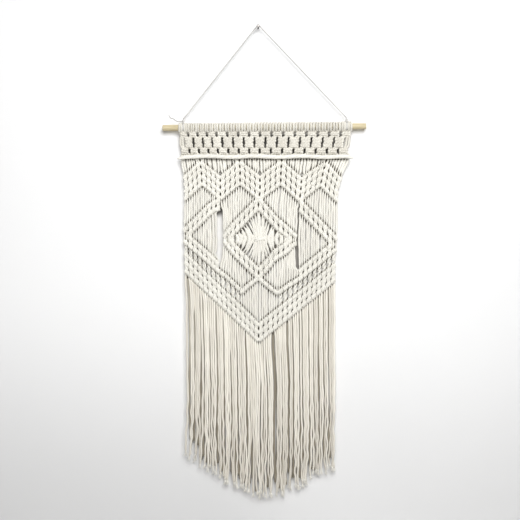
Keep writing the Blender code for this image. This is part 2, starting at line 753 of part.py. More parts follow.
def tail_mesh():
    """The free end of the left tie as a closed mesh, measured from its knot."""
    route = smooth_route([tuple(part * MM for part in point) for point in TIE_TAIL], 4)
    guide = cord_curve("guide", route, TIE_TAIL_RADIUS)
    mesh = bpy.data.meshes.new_from_object(guide)
    bpy.data.objects.remove(guide, do_unlink=True)
    work = bmesh.new()
    work.from_mesh(mesh)
    bmesh.ops.remove_doubles(work, verts=work.verts[:], dist=WELD)
    bmesh.ops.recalc_face_normals(work, faces=work.faces[:])
    work.to_mesh(mesh)
    work.free()
    return mesh


def helper(name, mesh):
    """An object that a Boolean reads and the part leaves out."""
    made = bpy.data.objects.new(name, mesh)
    made.hide_render = True
    made.display_type = "WIRE"
    bpy.context.scene.collection.objects.link(made)
    return made


def join(body, other):
    """Unites another closed shape with the body."""
    union = body.modifiers.new(other.name, "BOOLEAN")
    union.operation = "UNION"
    union.object = other
    union.solver = "EXACT"


def tie_ring(name, x, height, finish):
    """The turn of a tie round the dowel."""
    work = bmesh.new()
    bmesh.ops.create_circle(work, segments=8, radius=TIE_RADIUS)
    for vertex in work.verts:
        vertex.co = (vertex.co.x, 0.0, vertex.co.y + TIE_RING)
    turn = {"cent": (0, 0, 0), "axis": (1, 0, 0), "angle": 2 * math.pi, "steps": TIE_STEPS}
    bmesh.ops.spin(work, geom=work.edges[:] + work.verts[:], use_merge=True, **turn)
    bmesh.ops.remove_doubles(work, verts=work.verts[:], dist=WELD)
    bmesh.ops.recalc_face_normals(work, faces=work.faces[:])
    mesh = bpy.data.meshes.new(name)
    work.to_mesh(mesh)
    work.free()
    mesh.materials.append(finish)
    ring = bpy.data.objects.new(name, mesh)
    ring.location = (x, SHEET_Y, height)
    bpy.context.scene.collection.objects.link(ring)
    return ring


def knot_mesh():
    """The knot of a tie, a small egg."""
    work = bmesh.new()
    bmesh.ops.create_uvsphere(work, u_segments=10, v_segments=6, radius=1.0)
    bmesh.ops.scale(work, vec=TIE_KNOT_SIZE, verts=work.verts[:])
    mesh = bpy.data.meshes.new("knot")
    work.to_mesh(mesh)
    work.free()
    return mesh


def make_tie(name, side, finish, with_tail):
    """A hanger tie: a turn round the dowel, its knot on top and, on the left, the loose free end."""
    x = tie_x(side)
    axis = -dowel_drop(x)
    ring = tie_ring(name, x, axis, finish)
    shapes = [helper(name + ".knot", knot_mesh())]
    if with_tail:
        shapes.append(helper(name + ".tail", tail_mesh()))
    for shape in shapes:
        shape.location = (x, SHEET_Y, axis + TIE_KNOT_ABOVE_AXIS)
        join(ring, shape)
    return ring


def main():
    """Builds every piece."""
    clear_scene()
    cotton = material("cotton_cord", COTTON, 0.95)
    low_cotton = material("cotton_fringe", COTTON_LOW, 0.95)
    hanger_cotton = material("cotton_hanger", HANGER_COTTON, 0.9)
    make_dowel(material("pine", PINE, 0.6))
    make_heading(cotton)
    make_cross_cord(cotton)
    make_panel(cotton)
    make_fringe(low_cotton)
    make_hanger(hanger_cotton)
    make_tie("hanger_knot_left", -1, hanger_cotton, with_tail=True)
    make_tie("hanger_knot_right", 1, hanger_cotton, with_tail=False)
    make_nail(material("steel", STEEL, 0.45, 1.0))


main()
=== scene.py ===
"""Looks of a macrame wall hanging on a wooden dowel, which hangs from a nail.

Metres, +Z up, +X to the right of someone who faces the wall. The wall is the plane y = 0 and the hanging is on
its -Y side. The origin is where the nail's axis meets the wall. A height is given as its drop below that axis.
The 64 strands are counted from the left, and strand boundary 32 is the middle of the cloth.
"""

import logging
import math
from dataclasses import dataclass
from enum import Enum
from typing import Callable, Optional, Sequence

import bpy
import numpy as np
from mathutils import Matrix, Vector


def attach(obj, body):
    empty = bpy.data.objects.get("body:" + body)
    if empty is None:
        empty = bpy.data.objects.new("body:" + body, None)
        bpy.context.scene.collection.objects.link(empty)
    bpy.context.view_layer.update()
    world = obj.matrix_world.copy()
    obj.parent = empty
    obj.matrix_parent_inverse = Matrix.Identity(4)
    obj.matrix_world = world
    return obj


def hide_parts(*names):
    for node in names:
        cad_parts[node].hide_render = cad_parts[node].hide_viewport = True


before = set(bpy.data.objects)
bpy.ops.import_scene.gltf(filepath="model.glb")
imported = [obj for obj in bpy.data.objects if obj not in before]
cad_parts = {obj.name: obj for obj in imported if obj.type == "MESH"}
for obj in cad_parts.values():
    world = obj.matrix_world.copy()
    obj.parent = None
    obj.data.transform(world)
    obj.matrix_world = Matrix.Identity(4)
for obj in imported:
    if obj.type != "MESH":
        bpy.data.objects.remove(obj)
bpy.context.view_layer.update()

LOG = logging.getLogger("wall_hanging")
MM = 0.001
STRANDS = 64
SHEET_Y = -11.5 * MM  # the middle of the hanging strands, off the wall
BAR_Y = -12.3 * MM  # the middle of the knotted rows
RIGHTWARD, WALLWARD, UPWARD = np.eye(3)


class Side(Enum):
    """The two sides of the hanging, as seen from the front."""

    LEFT = -1
    RIGHT = 1


TIE_PLACES = {Side.LEFT: 2, Side.RIGHT: 62}  # the strand boundaries at which the hanger is tied round the dowel


class Slot(Enum):
    """Material slot names that are passed along with the new pieces."""

    CORD = "cotton_cord"
    FRINGE = "cotton_fringe"
    HANGER = "hanger_cord"


class Seed(Enum):
    """What fixes each piece's unevenness, so that every run gives the same."""

    HEADING = 21
    STRANDS = 22
    HITCHES_UPPER = 23
    HITCHES_LOWER = 24
    STRANDS_ASIDE = 25
    STRANDS_DEEP = 26
    FRINGE_HITCHES = 27
    FRINGE = 28
    FRINGE_SWAY = 29
    FRINGE_WAVE = 30
    FRINGE_DEEP = 31


# ---------------------------------------------------------------- curves and noise


def ease(low: float, high: float, at: np.ndarray) -> np.ndarray:
    """Runs smoothly from 0 at low to 1 at high.

    Args:
        low: Where the rise starts.
        high: Where the rise ends.
        at: The places to read.

    Returns:
        The share at each place.
    """
    share = np.clip((np.asarray(at, float) - low) / (high - low), 0.0, 1.0)
    return share * share * (3 - 2 * share)


def hump(low: float, high: float, soft: float, at: np.ndarray) -> np.ndarray:
    """Is 1 between low and high and falls to 0 over a soft run outside them.

    Args:
        low: Where it reaches 1.
        high: Where it leaves 1.
        soft: The length of each slope.
        at: The places to read.

    Returns:
        The share at each place.
    """
    return ease(low - soft, low, at) * (1 - ease(high, high + soft, at))


def even(strand: int) -> int:
    """Is 1 for an even strand and -1 for an odd one."""
    return 1 - 2 * (strand % 2)


def band(first: float, last: float, soft: float, drop: np.ndarray) -> np.ndarray:
    """Is a hump over drops, with its limits and its softness in millimetres."""
    return hump(first * MM, last * MM, soft * MM, drop)


def drawn(away: float, reach: float, limit: float) -> float:
    """How much of a gap's half width moves a strand that lies some strands to its right, less if further away."""
    return math.copysign(math.exp(-max(abs(away) - 0.5, 0.0) / reach), away) * (abs(away) < limit)


def spots(x: np.ndarray, y: np.ndarray, drop: np.ndarray) -> np.ndarray:
    """Puts places across, in depth and in drop together as points."""
    return np.stack(np.broadcast_arrays(x, y, -np.asarray(drop, float)), axis=-1)


def smooth(points: Sequence[Sequence[float]], steps: int) -> np.ndarray:
    """Draws a smooth curve through points, closer together or further apart as they are.

    Args:
        points: The points to pass through.
        steps: How many samples each stretch gets.

    Returns:
        The samples, one row each.
    """
    given = np.asarray(points, float)
    gaps = np.maximum(np.linalg.norm(np.diff(given, axis=0), axis=1), 1e-7) ** 0.5
    knots = np.concatenate([[0.0], np.cumsum(gaps)])
    slopes = np.diff(given, axis=0) / gaps[:, None]
    inner = (slopes[:-1] * gaps[1:, None] + slopes[1:] * gaps[:-1, None]) / (gaps[:-1] + gaps[1:])[:, None]
    tangents = np.vstack([slopes[:1], inner, slopes[-1:]])
    share = np.arange(steps) / steps
    h00, h10 = 2 * share**3 - 3 * share**2 + 1, share**3 - 2 * share**2 + share
    h01, h11 = 3 * share**2 - 2 * share**3, share**3 - share**2
    rows = []
    for i, gap in enumerate(np.diff(knots)):
        rows.append(
            h00[:, None] * given[i]
            + h10[:, None] * gap * tangents[i]
            + h01[:, None] * given[i + 1]
            + h11[:, None] * gap * tangents[i + 1]
        )
    return np.vstack([*rows, given[-1:]])


class Drift:
    """Slow irregular waves, one for each strand, the same at every run."""

    calm = 1.3  # keeps most of the waves' sum within -1 to 1
    longer = (0.8, 1.25)  # the range of each wave's own length, against the given one

    def __init__(self, seed: Seed, waves: Sequence[float]) -> None:
        """Draws the waves' phases.

        Args:
            seed: Fixes the waves.
            waves: The wave lengths in metres.
        """
        draw = np.random.default_rng(seed.value)
        self.waves = np.asarray(waves, float)
        self.phases = draw.uniform(0, 2 * math.pi, (STRANDS + 2, len(waves)))
        self.stretch = draw.uniform(*self.longer, (STRANDS + 2, len(waves)))

    def at(self, strand: int, drop: np.ndarray) -> np.ndarray:
        """Reads a strand's wave, about -1 to 1, at drops."""
        turns = 2 * math.pi * np.asarray(drop)[:, None] / (self.waves * self.stretch[strand]) + self.phases[strand]
        return np.sin(turns).sum(axis=1) / math.sqrt(len(self.waves)) / self.calm


# ---------------------------------------------------------------- where the strands run


@dataclass(frozen=True)
class Chart:
    """Where the strand boundaries run, level by level, and how the cloth opens beside the diamond."""

    quarter: int = 16  # strands from one column of the levels to the next
    levels: tuple = (
        # drop, left edge, first quarter, middle, third quarter, right edge, in millimetres
        (196.8, -156.9, -83.0, 3.3, 94.8, 184.8),
        (204.5, -156.9, -83.0, 3.3, 94.8, 184.8),
        (244.6, -153.9, -79.4, 2.4, 90.6, 177.9),
        (259.5, -152.4, -77.7, 2.6, 89.1, 180.3),
        (285.1, -149.0, -74.7, 2.8, 85.9, 168.5),
        (320.5, -145.5, -74.9, 3.3, 83.4, 157.7),
        (350.0, -146.1, -74.3, 0.0, 80.0, 156.7),
        (418.8, -147.6, -72.3, 0.2, 78.1, 155.3),
        (477.7, -144.9, -76.1, 0.4, 79.2, 151.8),
        (536.7, -140.2, -71.4, 0.4, 76.1, 150.8),
        (624.9, -139.2, -68.0, 0.5, 76.0, 150.8),
        (700.0, -139.2, -66.7, 5.0, 78.0, 150.8),
        (940.0, -139.2, -66.7, 5.0, 78.0, 150.8),
    )
    drawn: tuple = (
        # The strand boundaries where a pull starts and where it is full, and its parts: how far it draws the cloth
        # to the right, the drops between which it does, and its softness, in millimetres.
        (11.5, 16, ((-8.6, 368, 444, 15), (-2.6, 446, 468, 6))),
        (21, 16, ((3.6, 362, 452, 15),)),
        (43.5, 48, ((-2.4, 358, 474, 6), (-3.6, 434, 468, 12))),
    )
    dowel_drop: float = 196.8 * MM
    dowel_centre: float = 11.7 * MM
    dowel_tilt: float = math.radians(0.5)

    def x(self, boundary: np.ndarray, drop: np.ndarray) -> np.ndarray:
        """Reads the chart.

        Args:
            boundary: Strand boundaries, 0 to 64, also between whole ones.
            drop: Drops below the nail.

        Returns:
            The distance from the nail's axis, to the right.
        """
        boundary, drop = np.broadcast_arrays(np.asarray(boundary, float), np.asarray(drop, float))
        drops, *sides = (np.asarray(self.levels) * MM).T
        at = np.stack([np.interp(drop, drops, side) for side in sides], axis=-1)
        column = np.clip(boundary // self.quarter, 0, len(sides) - 2).astype(int)
        low, high = (np.take_along_axis(at, column[..., None] + beside, axis=-1)[..., 0] for beside in (0, 1))
        return low + (boundary / self.quarter - column) * (high - low)

    def lay(self, boundary: np.ndarray, drop: np.ndarray) -> np.ndarray:
        """Reads the chart with the cloth drawn aside at the two tall openings.

        Args:
            boundary: Strand boundaries.
            drop: Drops below the nail.

        Returns:
            The distance from the nail's axis, to the right.
        """
        boundary, drop = np.broadcast_arrays(np.asarray(boundary, float), np.asarray(drop, float))
        x = self.x(boundary, drop)
        for start, full, parts in self.drawn:
            reached = (boundary < full) == (start < full)
            share = np.clip((boundary - start) / (full - start), 0, 1) * reached
            for by, upper, lower, soft in parts:
                x = x + by * MM * share * band(upper, lower, soft, drop)
        return x

    def axis_drop(self, x: np.ndarray) -> np.ndarray:
        """The drop of the dowel's axis at x."""
        return self.dowel_drop - math.tan(self.dowel_tilt) * (x - self.dowel_centre)


CHART = Chart()


@dataclass(frozen=True)
class Row:
    """One row of double half hitches along a holding cord."""

    name: str
    line: tuple  # (boundary, drop in millimetres) from left to right
    first: float  # the boundaries between which its hitches run
    last: float
    half: float = 4.9  # half its width across the row, in millimetres

    def drop(self, boundary: np.ndarray) -> np.ndarray:
        """The drop of the row's middle at strand boundaries."""
        places, drops = zip(*self.line)
        return np.interp(boundary, places, drops) * MM

    def holds(self, boundary: float) -> bool:
        """Says whether the row reaches a boundary."""
        return self.first <= boundary <= self.last

    def thin(self) -> bool:
        """Says whether it is the thin row under the cross cord."""
        return self.name == "under_cross_cord"

    def steep(self, boundary: float) -> float:
        """Works out the cosine of the row's slope.

        Args:
            boundary: A strand boundary.

        Returns:
            The cosine there.
        """
        low, high = boundary - 0.5, boundary + 0.5
        rise = float(self.drop(high) - self.drop(low))
        run = float(CHART.x(high, self.drop(boundary)) - CHART.x(low, self.drop(boundary)))
        return run / math.hypot(rise, run)


def shifted(line: tuple, by: float) -> tuple:
    """The same line, lower by some millimetres."""
    return tuple((place, drop + by) for place, drop in line)


ZIGZAG = tuple(zip(range(0, 65, 8), (325.5, 293.3, 324.0, 292.4, 324.0, 292.6, 326.8, 295.2, 329.0)))

ROWS = (
    Row("under_cross_cord", ((0, 255.6), (64, 255.6)), 0, 64, 3.2),
    Row("zigzag_1", shifted(ZIGZAG, -26.4), 0, 64, 4.5),
    Row("zigzag_2", shifted(ZIGZAG, -13.6), 0, 64, 4.5),
    Row("zigzag_3", ZIGZAG, 0, 64, 4.5),
    Row("zigzag_4", shifted(ZIGZAG, 14.1), 0, 64, 4.5),
    Row("left_arm_1", ((0, 401.9), (10.6, 353.3), (13, 346.0), (16, 340.0)), 0, 16),
    Row("left_arm_2", ((1.5, 410.6), (10.6, 368.8), (13, 362.0), (16, 356.5)), 1.7, 16),
    Row("right_arm_1", ((48, 341.0), (49.4, 348.0), (64, 418.6)), 48, 64),
    Row("right_arm_2", ((48, 358.5), (49.4, 365.0), (62.3, 427.2)), 48.3, 62.2),
    Row("diamond_top_1", ((16, 414.0), (32, 338.2), (39.3, 378.3), (45.5, 403.7), (48, 413.5)), 16, 48),
    Row("diamond_top_2", ((18.9, 417.3), (32, 355.4), (39.3, 395.0), (45.3, 417.5)), 19, 45.2),
    Row(
        "diamond_foot_1",
        ((18.9, 417.5), (21, 427.0), (32, 478.2), (35.9, 457.7), (38.6, 441.2), (44.3, 423.3), (45.5, 419.0)),
        19,
        45.4,
    ),
    Row(
        "diamond_foot_2",
        ((16.3, 421.0), (32, 493.2), (35.9, 472.7), (38.6, 456.0), (44.3, 438.2), (48, 424.0)),
        16.3,
        48,
    ),
    Row("left_diagonal_1", ((1.5, 410.6), (16, 468.2)), 1.7, 16),
    Row("left_diagonal_2", ((0, 420.3), (16, 482.0), (18.2, 489.7), (23.2, 513.0), (24.8, 521.2)), 0, 24.8),
    Row(
        "legs",
        ((24.8, 521.2), (27.6, 509.0), (29.9, 500.4), (32, 493.5), (34.1, 502.3), (37.1, 514.1), (39.8, 523.9)),
        24.8,
        39.8,
    ),
    Row("right_diagonal_1", ((48, 481.7), (61.2, 431.4), (62.3, 427.2)), 48, 62.2),
    Row("right_diagonal_2", ((39.8, 523.9), (44.5, 507.2), (49, 493.9), (61.2, 447.1), (64, 436.5)), 39.8, 64),
    Row("vee_1", ((0, 444.7), (32, 587.0), (64, 467.0)), 0, 64),
    Row("vee_2", ((0, 461.7), (32, 602.0), (64, 481.2)), 0, 64),
    Row("vee_3", ((0, 478.2), (32, 616.5), (64, 495.2)), 0, 64),
)
ROW = {row.name: row for row in ROWS}


# ---------------------------------------------------------------- tubes


class Tubes:
    """Gathers many cords as round tubes and makes one mesh object of them.

    The map named strand runs once round each tube and along it in metres. The value named tone is a random
    number for each tube, and the value named nook is a share of painted shade, 1 where a strand dives into a knot;
    it also paints shade low on the fringe and on the layer behind it, and greys the hanger's legs higher up.
    """

    def __init__(self) -> None:
        """Starts empty."""
        self.points: list = []
        self.faces: list = []
        self.maps: list = []
        self.tones: list = []
        self.nooks: list = []
        self.count = 0

    def add(
        self,
        paths: np.ndarray,
        radii: np.ndarray,
        sides: int = 8,
        tones: Optional[np.ndarray] = None,
        closed: bool = False,
        up: Optional[np.ndarray] = None,
        flat: float = 1.0,
        nooks: Optional[np.ndarray] = None,
    ) -> None:
        """Adds tubes that all have as many points.

        Args:
            paths: One path of points, or an array of several.
            radii: The radius at each point, or one for all.
            sides: Sides of each tube, an even number.
            tones: A random number for each tube.
            closed: Whether each path is a loop.
            up: A direction across the path that fixes its section, or one for each path.
            flat: The section's size across the up direction, against the radius.
            nooks: A value at each point for the painted shade in the knots and low on the fringe, and the hanger's grey
                upper legs.
        """
        paths = np.asarray(paths, float)
        paths = paths[None] if paths.ndim == 2 else paths
        tubes, steps, _ = paths.shape
        radii = np.broadcast_to(np.asarray(radii, float), (tubes, steps))
        if closed:
            along = np.roll(paths, -1, axis=1) - np.roll(paths, 1, axis=1)
        else:
            along = np.gradient(paths, axis=1)
        along /= np.maximum(np.linalg.norm(along, axis=2, keepdims=True), 1e-12)
        across = self._carried(along) if up is None else np.broadcast_to(self._per_tube(up), along.shape)
        across = across - (across * along).sum(axis=2, keepdims=True) * along
        across = across / np.maximum(np.linalg.norm(across, axis=2, keepdims=True), 1e-12)
        other = np.cross(along, across)
        angles = 2 * math.pi * np.arange(sides) / sides
        ring = np.cos(angles)[:, None] * across[:, :, None] + flat * np.sin(angles)[:, None] * other[:, :, None]
        self.points.append((paths[:, :, None] + radii[:, :, None, None] * ring).reshape(-1, 3))
        self._faces(tubes, steps, sides, closed, paths)
        tones = np.full(tubes, 0.5) if tones is None else np.broadcast_to(np.asarray(tones, float), (tubes,))
        self.tones.append(np.repeat(tones, steps * sides))
        shade = np.zeros((tubes, steps)) if nooks is None else np.broadcast_to(np.asarray(nooks), (tubes, steps))
        self.nooks.append(np.repeat(shade.reshape(-1), sides))
        self.count += tubes * steps * sides

    @staticmethod
    def _per_tube(up: np.ndarray) -> np.ndarray:
        """Shapes a direction, or one for each tube, to fit the tubes' points."""
        up = np.asarray(up, float)
        return up[None, None] if up.ndim == 1 else up[:, None]

    @staticmethod
    def _carried(along: np.ndarray) -> np.ndarray:
        """Carries one section direction along each path without twist.

        Args:
            along: The unit directions of the paths.

        Returns:
            A direction across each path, point by point.
        """
        across = np.empty_like(along)
        across[:, 0] = np.where(np.abs(along[:, 0, :1]) < 0.9, RIGHTWARD, WALLWARD)
        for i in range(1, along.shape[1]):
            last = across[:, i - 1]
            turned = last - (last * along[:, i]).sum(axis=1, keepdims=True) * along[:, i]
            across[:, i] = turned / np.maximum(np.linalg.norm(turned, axis=1, keepdims=True), 1e-9)
        return across

    def _faces(self, tubes: int, steps: int, sides: int, closed: bool, paths: np.ndarray) -> None:
        """Adds the faces and the strand map of some tubes.

        Args:
            tubes: How many tubes.
            steps: Points along each.
            sides: Points round each.
            closed: Whether each is a loop.
            paths: The tubes' paths.
        """
        spans = steps if closed else steps - 1
        i, j = np.meshgrid(np.arange(spans), np.arange(sides), indexing="ij")
        after, beside = (i + 1) % steps, (j + 1) % sides
        one = np.stack([i * sides + j, i * sides + beside, after * sides + beside, after * sides + j], axis=-1)
        lengths = np.linalg.norm(np.diff(paths, axis=1, append=paths[:, :1]), axis=2)
        reach = np.concatenate([np.zeros((tubes, 1)), np.cumsum(lengths, axis=1)], axis=1)
        u = np.stack([j, j + 1, j + 1, j], axis=-1) / sides
        low, high = reach[:, :spans], reach[:, 1 : spans + 1]
        v = np.stack([low, low, high, high], axis=-1)[:, :, None, :] + np.zeros((1, 1, sides, 1))
        maps = np.stack([np.broadcast_to(u, v.shape), v], axis=-1)
        offsets = self.count + np.arange(tubes) * steps * sides
        self.faces.append((one[None] + offsets[:, None, None, None]).reshape(-1, 4))
        self.maps.append(maps.reshape(-1, 4, 2))
        if not closed:
            k = np.arange(sides // 2 - 1)
            lid = np.stack([k, k + 1, sides - 2 - k, sides - 1 - k], axis=-1)
            last = (steps - 1) * sides
            lids = np.concatenate([lid[:, ::-1], lid + last])
            self.faces.append((lids[None] + offsets[:, None, None]).reshape(-1, 4))
            self.maps.append(np.zeros((tubes * len(lids), 4, 2)))

    def build(self, name: str, finish: bpy.types.Material) -> bpy.types.Object:
        """Makes the mesh object.

        Args:
            name: The object's name.
            finish: Its material.

        Returns:
            The new object, smooth shaded.
        """
        points, faces = np.concatenate(self.points), np.concatenate(self.faces)
        mesh = bpy.data.meshes.new(name)
        mesh.from_pydata(points.tolist(), [], faces.tolist())
        strand = mesh.uv_layers.new(name="strand")
        strand.data.foreach_set("uv", np.concatenate(self.maps).astype(np.float32).ravel())
        for label, values in (("tone", self.tones), ("nook", self.nooks)):
            layer = mesh.attributes.new(label, "FLOAT", "POINT")
            layer.data.foreach_set("value", np.concatenate(values).astype(np.float32))
        mesh.shade_smooth()
        mesh.materials.append(finish)
        LOG.info("%s: %d faces", name, len(faces))
        return put(name, mesh)


def put(name: str, data: bpy.types.ID) -> bpy.types.Object:
    """Puts a mesh, a light or the camera in the scene.

    Args:
        name: The object's name.
        data: The mesh, light or camera.

    Returns:
        The object.
    """
    made = bpy.data.objects.new(name, data)
    bpy.context.scene.collection.objects.link(made)
    return made


def place(piece: bpy.types.Object, slot: Slot, *nodes: str) -> bpy.types.Object:
    """Puts a finished piece on the hanging in place of the solids that it stands for.

    Args:
        piece: The piece.
        slot: Its material slot, which is not used.
        nodes: The solids that it replaces.

    Returns:
        The piece.
    """
    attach(piece, "root")
    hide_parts(*nodes)
    return piece


# ---------------------------------------------------------------- finishes


PLY_ROUND = 0.7  # below 1 for plies with round backs
FIBRE_STRETCH = 0.45  # below 1 for fibres that are longer up and down
LINE_STRETCH, PORE_STRETCH = 0.06, 0.03  # the same for the wood's lines and pores along it
LINE_COUNT = 7.0  # dark lines in the whole range of the noise


class Board:
    """A short way to lay out shader nodes in a material or a node group."""

    def __init__(self, tree: bpy.types.NodeTree) -> None:
        """Works on one node tree."""
        self.tree = tree

    def node(self, kind: str, options: Optional[dict] = None, **inputs: object) -> bpy.types.Node:
        """Adds a node.

        Args:
            kind: The node's type, without its ShaderNode prefix.
            options: Settings of the node itself.
            inputs: What its inputs get, as for feed.

        Returns:
            The node.
        """
        made = self.tree.nodes.new("ShaderNode" + kind)
        for label, value in (options or {}).items():
            setattr(made, label, value)
        return self.feed(made, **inputs)

    def feed(self, made: bpy.types.Node, **inputs: object) -> bpy.types.Node:
        """Links or sets a node's inputs.

        Args:
            made: The node.
            inputs: Values or sockets, by the input's name with _ for a space, or as in_0, in_1 and so on.

        Returns:
            The node.
        """
        for label, value in inputs.items():
            socket = made.inputs[int(label[3:]) if label.startswith("in_") else label.replace("_", " ")]
            if isinstance(value, bpy.types.NodeSocket):
                self.tree.links.new(value, socket)
            else:
                socket.default_value = value
        return made

    def group(self, tree: bpy.types.NodeTree, **inputs: object) -> bpy.types.Node:
        """Places a node group."""
        return self.node("Group", {"node_tree": tree}, **inputs)

    def math(self, operation: str, first: object, second: object = 0.0) -> bpy.types.NodeSocket:
        """One of the Math operations on two values."""
        return self.node("Math", {"operation": operation}, in_0=first, in_1=second).outputs[0]

    def times(self, first: object, second: object) -> bpy.types.NodeSocket:
        """The product of two values."""
        return self.math("MULTIPLY", first, second)

    def plus(self, first: object, second: object) -> bpy.types.NodeSocket:
        """The sum of two values."""
        return self.math("ADD", first, second)

    def blend(self, share: object, first: object, second: object) -> bpy.types.NodeSocket:
        """Mixes two colours by a share."""
        made = self.node("Mix", {"data_type": "RGBA", "clamp_factor": True}, in_0=share, in_6=first, in_7=second)
        return made.outputs[2]

    def ramp(self, value: object, low: float, high: float) -> bpy.types.NodeSocket:
        """Stretches a value between two limits to 0 and 1."""
        options = {"clamp": True, "interpolation_type": "SMOOTHSTEP"}
        return self.node("MapRange", options, Value=value, From_Min=low, From_Max=high).outputs["Result"]

    def span(self, value: object, low: float, high: float) -> bpy.types.NodeSocket:
        """Turns a value from 0 to 1 into one from low to high."""
        return self.node("MapRange", Value=value, To_Min=low, To_Max=high).outputs[0]

    def noise(self, where: object, scale: object, detail: float, roughness: float = 0.5) -> bpy.types.NodeSocket:
        """Reads noise at a place."""
        return self.node("TexNoise", Vector=where, Scale=scale, Detail=detail, Roughness=roughness).outputs[0]

    def bump(self, strength: float, depth: float, height: object, **inputs: object) -> bpy.types.NodeSocket:
        """Turns a height into a normal, over another one where that is given."""
        return self.node("Bump", Strength=strength, Distance=depth, Height=height, **inputs).outputs[0]


def group(name: str, inputs: dict, outputs: Sequence[str], fill: Callable) -> bpy.types.NodeTree:
    """Makes a shader node group whose inputs and outputs are all values.

    Args:
        name: The group's name.
        inputs: The inputs' names and their default values.
        outputs: The outputs' names.
        fill: Lays out the nodes, given a board and the inputs' sockets, and gives back the outputs by name.

    Returns:
        The group.
    """
    tree = bpy.data.node_groups.new(name, "ShaderNodeTree")
    for label, value in inputs.items():
        made = tree.interface.new_socket(name=label, in_out="INPUT", socket_type="NodeSocketFloat")
        made.default_value = value
    for label in outputs:
        tree.interface.new_socket(name=label, in_out="OUTPUT", socket_type="NodeSocketFloat")
    entry, leave = tree.nodes.new("NodeGroupInput"), tree.nodes.new("NodeGroupOutput")
    results = fill(Board(tree), {label: entry.outputs[label] for label in inputs})
    for label in outputs:
        tree.links.new(results[label], leave.inputs[label])
    return tree


def fill_twist(board: Board, given: dict) -> dict:
    """Lays out the relief of plies that wind along a cord.

    Args:
        board: Where the nodes go.
        given: The group's input sockets.

    Returns:
        The outputs: the plies' height and the groove between them.
    """
    where = board.node("UVMap", {"uv_map": "strand"}).outputs[0]
    round_it, down_it, _ = board.node("SeparateXYZ", Vector=where).outputs
    turns = board.plus(board.times(round_it, given["Plies"]), board.times(down_it, given["Turns a metre"]))
    wave = board.math("ABSOLUTE", board.math("SINE", board.times(turns, math.pi)))
    height = board.math("POWER", wave, PLY_ROUND)
    return {"Height": height, "Groove": board.math("SUBTRACT", 1.0, height)}


def fill_fibre(board: Board, given: dict) -> dict:
    """Lays out fine cotton fibres and the slow change of shade along a cord.

    Args:
        board: Where the nodes go.
        given: The group's input sockets.

    Returns:
        The outputs: the fibres' height and a slow mottle.
    """
    where = board.node("TexCoord").outputs["Object"]
    stretch = board.node("Mapping", Vector=where, Scale=(1.0, 1.0, FIBRE_STRETCH)).outputs[0]
    fine = board.noise(stretch, given["Fibre scale"], 3.0, 0.65)
    slow = board.noise(where, given["Mottle scale"], 2.0)
    return {"Height": fine, "Mottle": board.ramp(slow, 0.3, 0.7)}


def fill_shade(board: Board, given: dict) -> dict:
    """Lays out a cord's deeper colour: painted shade in knots and ply grooves, random tone by strand and mottle.

    Args:
        board: Where the nodes go.
        given: The group's input sockets.

    Returns:
        The output: the share of the deeper colour.
    """
    tone, nook = (board.node("Attribute", {"attribute_name": name}).outputs["Fac"] for name in ("tone", "nook"))
    total = board.times(tone, given["By strand"])
    total = board.plus(total, board.times(nook, given["In knots"]))
    total = board.plus(total, board.times(given["Groove"], given["In grooves"]))
    return {"Share": board.plus(total, board.times(given["Mottle"], given["Mottled"]))}


def fill_facing(board: Board, given: dict) -> dict:
    """Lays out which parts of a cord face the front of the cloth, for painted shade on cords behind it.

    Args:
        board: Where the nodes go.
        given: The group's input sockets.

    Returns:
        The output: the amount where the surface faces the front, 0 at its back.
    """
    split = board.node("SeparateXYZ", Vector=board.node("TexCoord").outputs["Normal"])
    facing = board.times(split.outputs[1], -1.0)
    return {"Front": board.times(board.ramp(facing, -0.1, 0.4), given["Amount"])}


def fill_grain(board: Board, given: dict) -> dict:
    """Lays out wood grain that runs along X.

    Args:
        board: Where the nodes go.
        given: The group's input sockets.

    Returns:
        The outputs: dark grain lines, pores and a slow change of colour.
    """
    where = board.node("TexCoord").outputs["Object"]
    long_way, fine = (
        board.node("Mapping", Vector=where, Scale=(stretch, 1.0, 1.0)).outputs[0]
        for stretch in (LINE_STRETCH, PORE_STRETCH)
    )
    rings = board.times(board.noise(long_way, given["Ring scale"], 4.0, 0.6), LINE_COUNT)
    pores = board.noise(fine, given["Pore scale"], 2.0)
    return {
        "Lines": board.ramp(board.math("FRACT", rings), 0.25, 1.0),
        "Pores": board.ramp(pores, 0.45, 0.7),
        "Drift": board.noise(where, 14.0, 1.0),
    }


class Effects:
    """The shader node groups that several finishes share."""

    def __init__(self) -> None:
        """Makes every group once."""
        plies = {"Plies": 3.0, "Turns a metre": 230.0}
        self.twist = group("twisted_plies", plies, ("Height", "Groove"), fill_twist)
        scales = {"Fibre scale": 1400.0, "Mottle scale": 30.0}
        self.fibre = group("cotton_fibre", scales, ("Height", "Mottle"), fill_fibre)
        shares = {"Groove": 0.0, "Mottle": 0.0, "By strand": 0.3, "In knots": 0.5, "In grooves": 0.3, "Mottled": 0.2}
        self.shade = group("cord_shade", shares, ("Share",), fill_shade)
        self.facing = group("faces_the_front", {"Amount": 1.0}, ("Front",), fill_facing)
        scales = {"Ring scale": 120.0, "Pore scale": 2200.0}
        self.grain = group("wood_grain", scales, ("Lines", "Pores", "Drift"), fill_grain)


def new_material(name: str) -> tuple:
    """Starts a material with a Principled shader.

    Args:
        name: The material's name.

    Returns:
        The material, its board and its shader node.
    """
    made = bpy.data.materials.new(name)
    made.use_nodes = True
    return made, Board(made.node_tree), made.node_tree.nodes["Principled BSDF"]


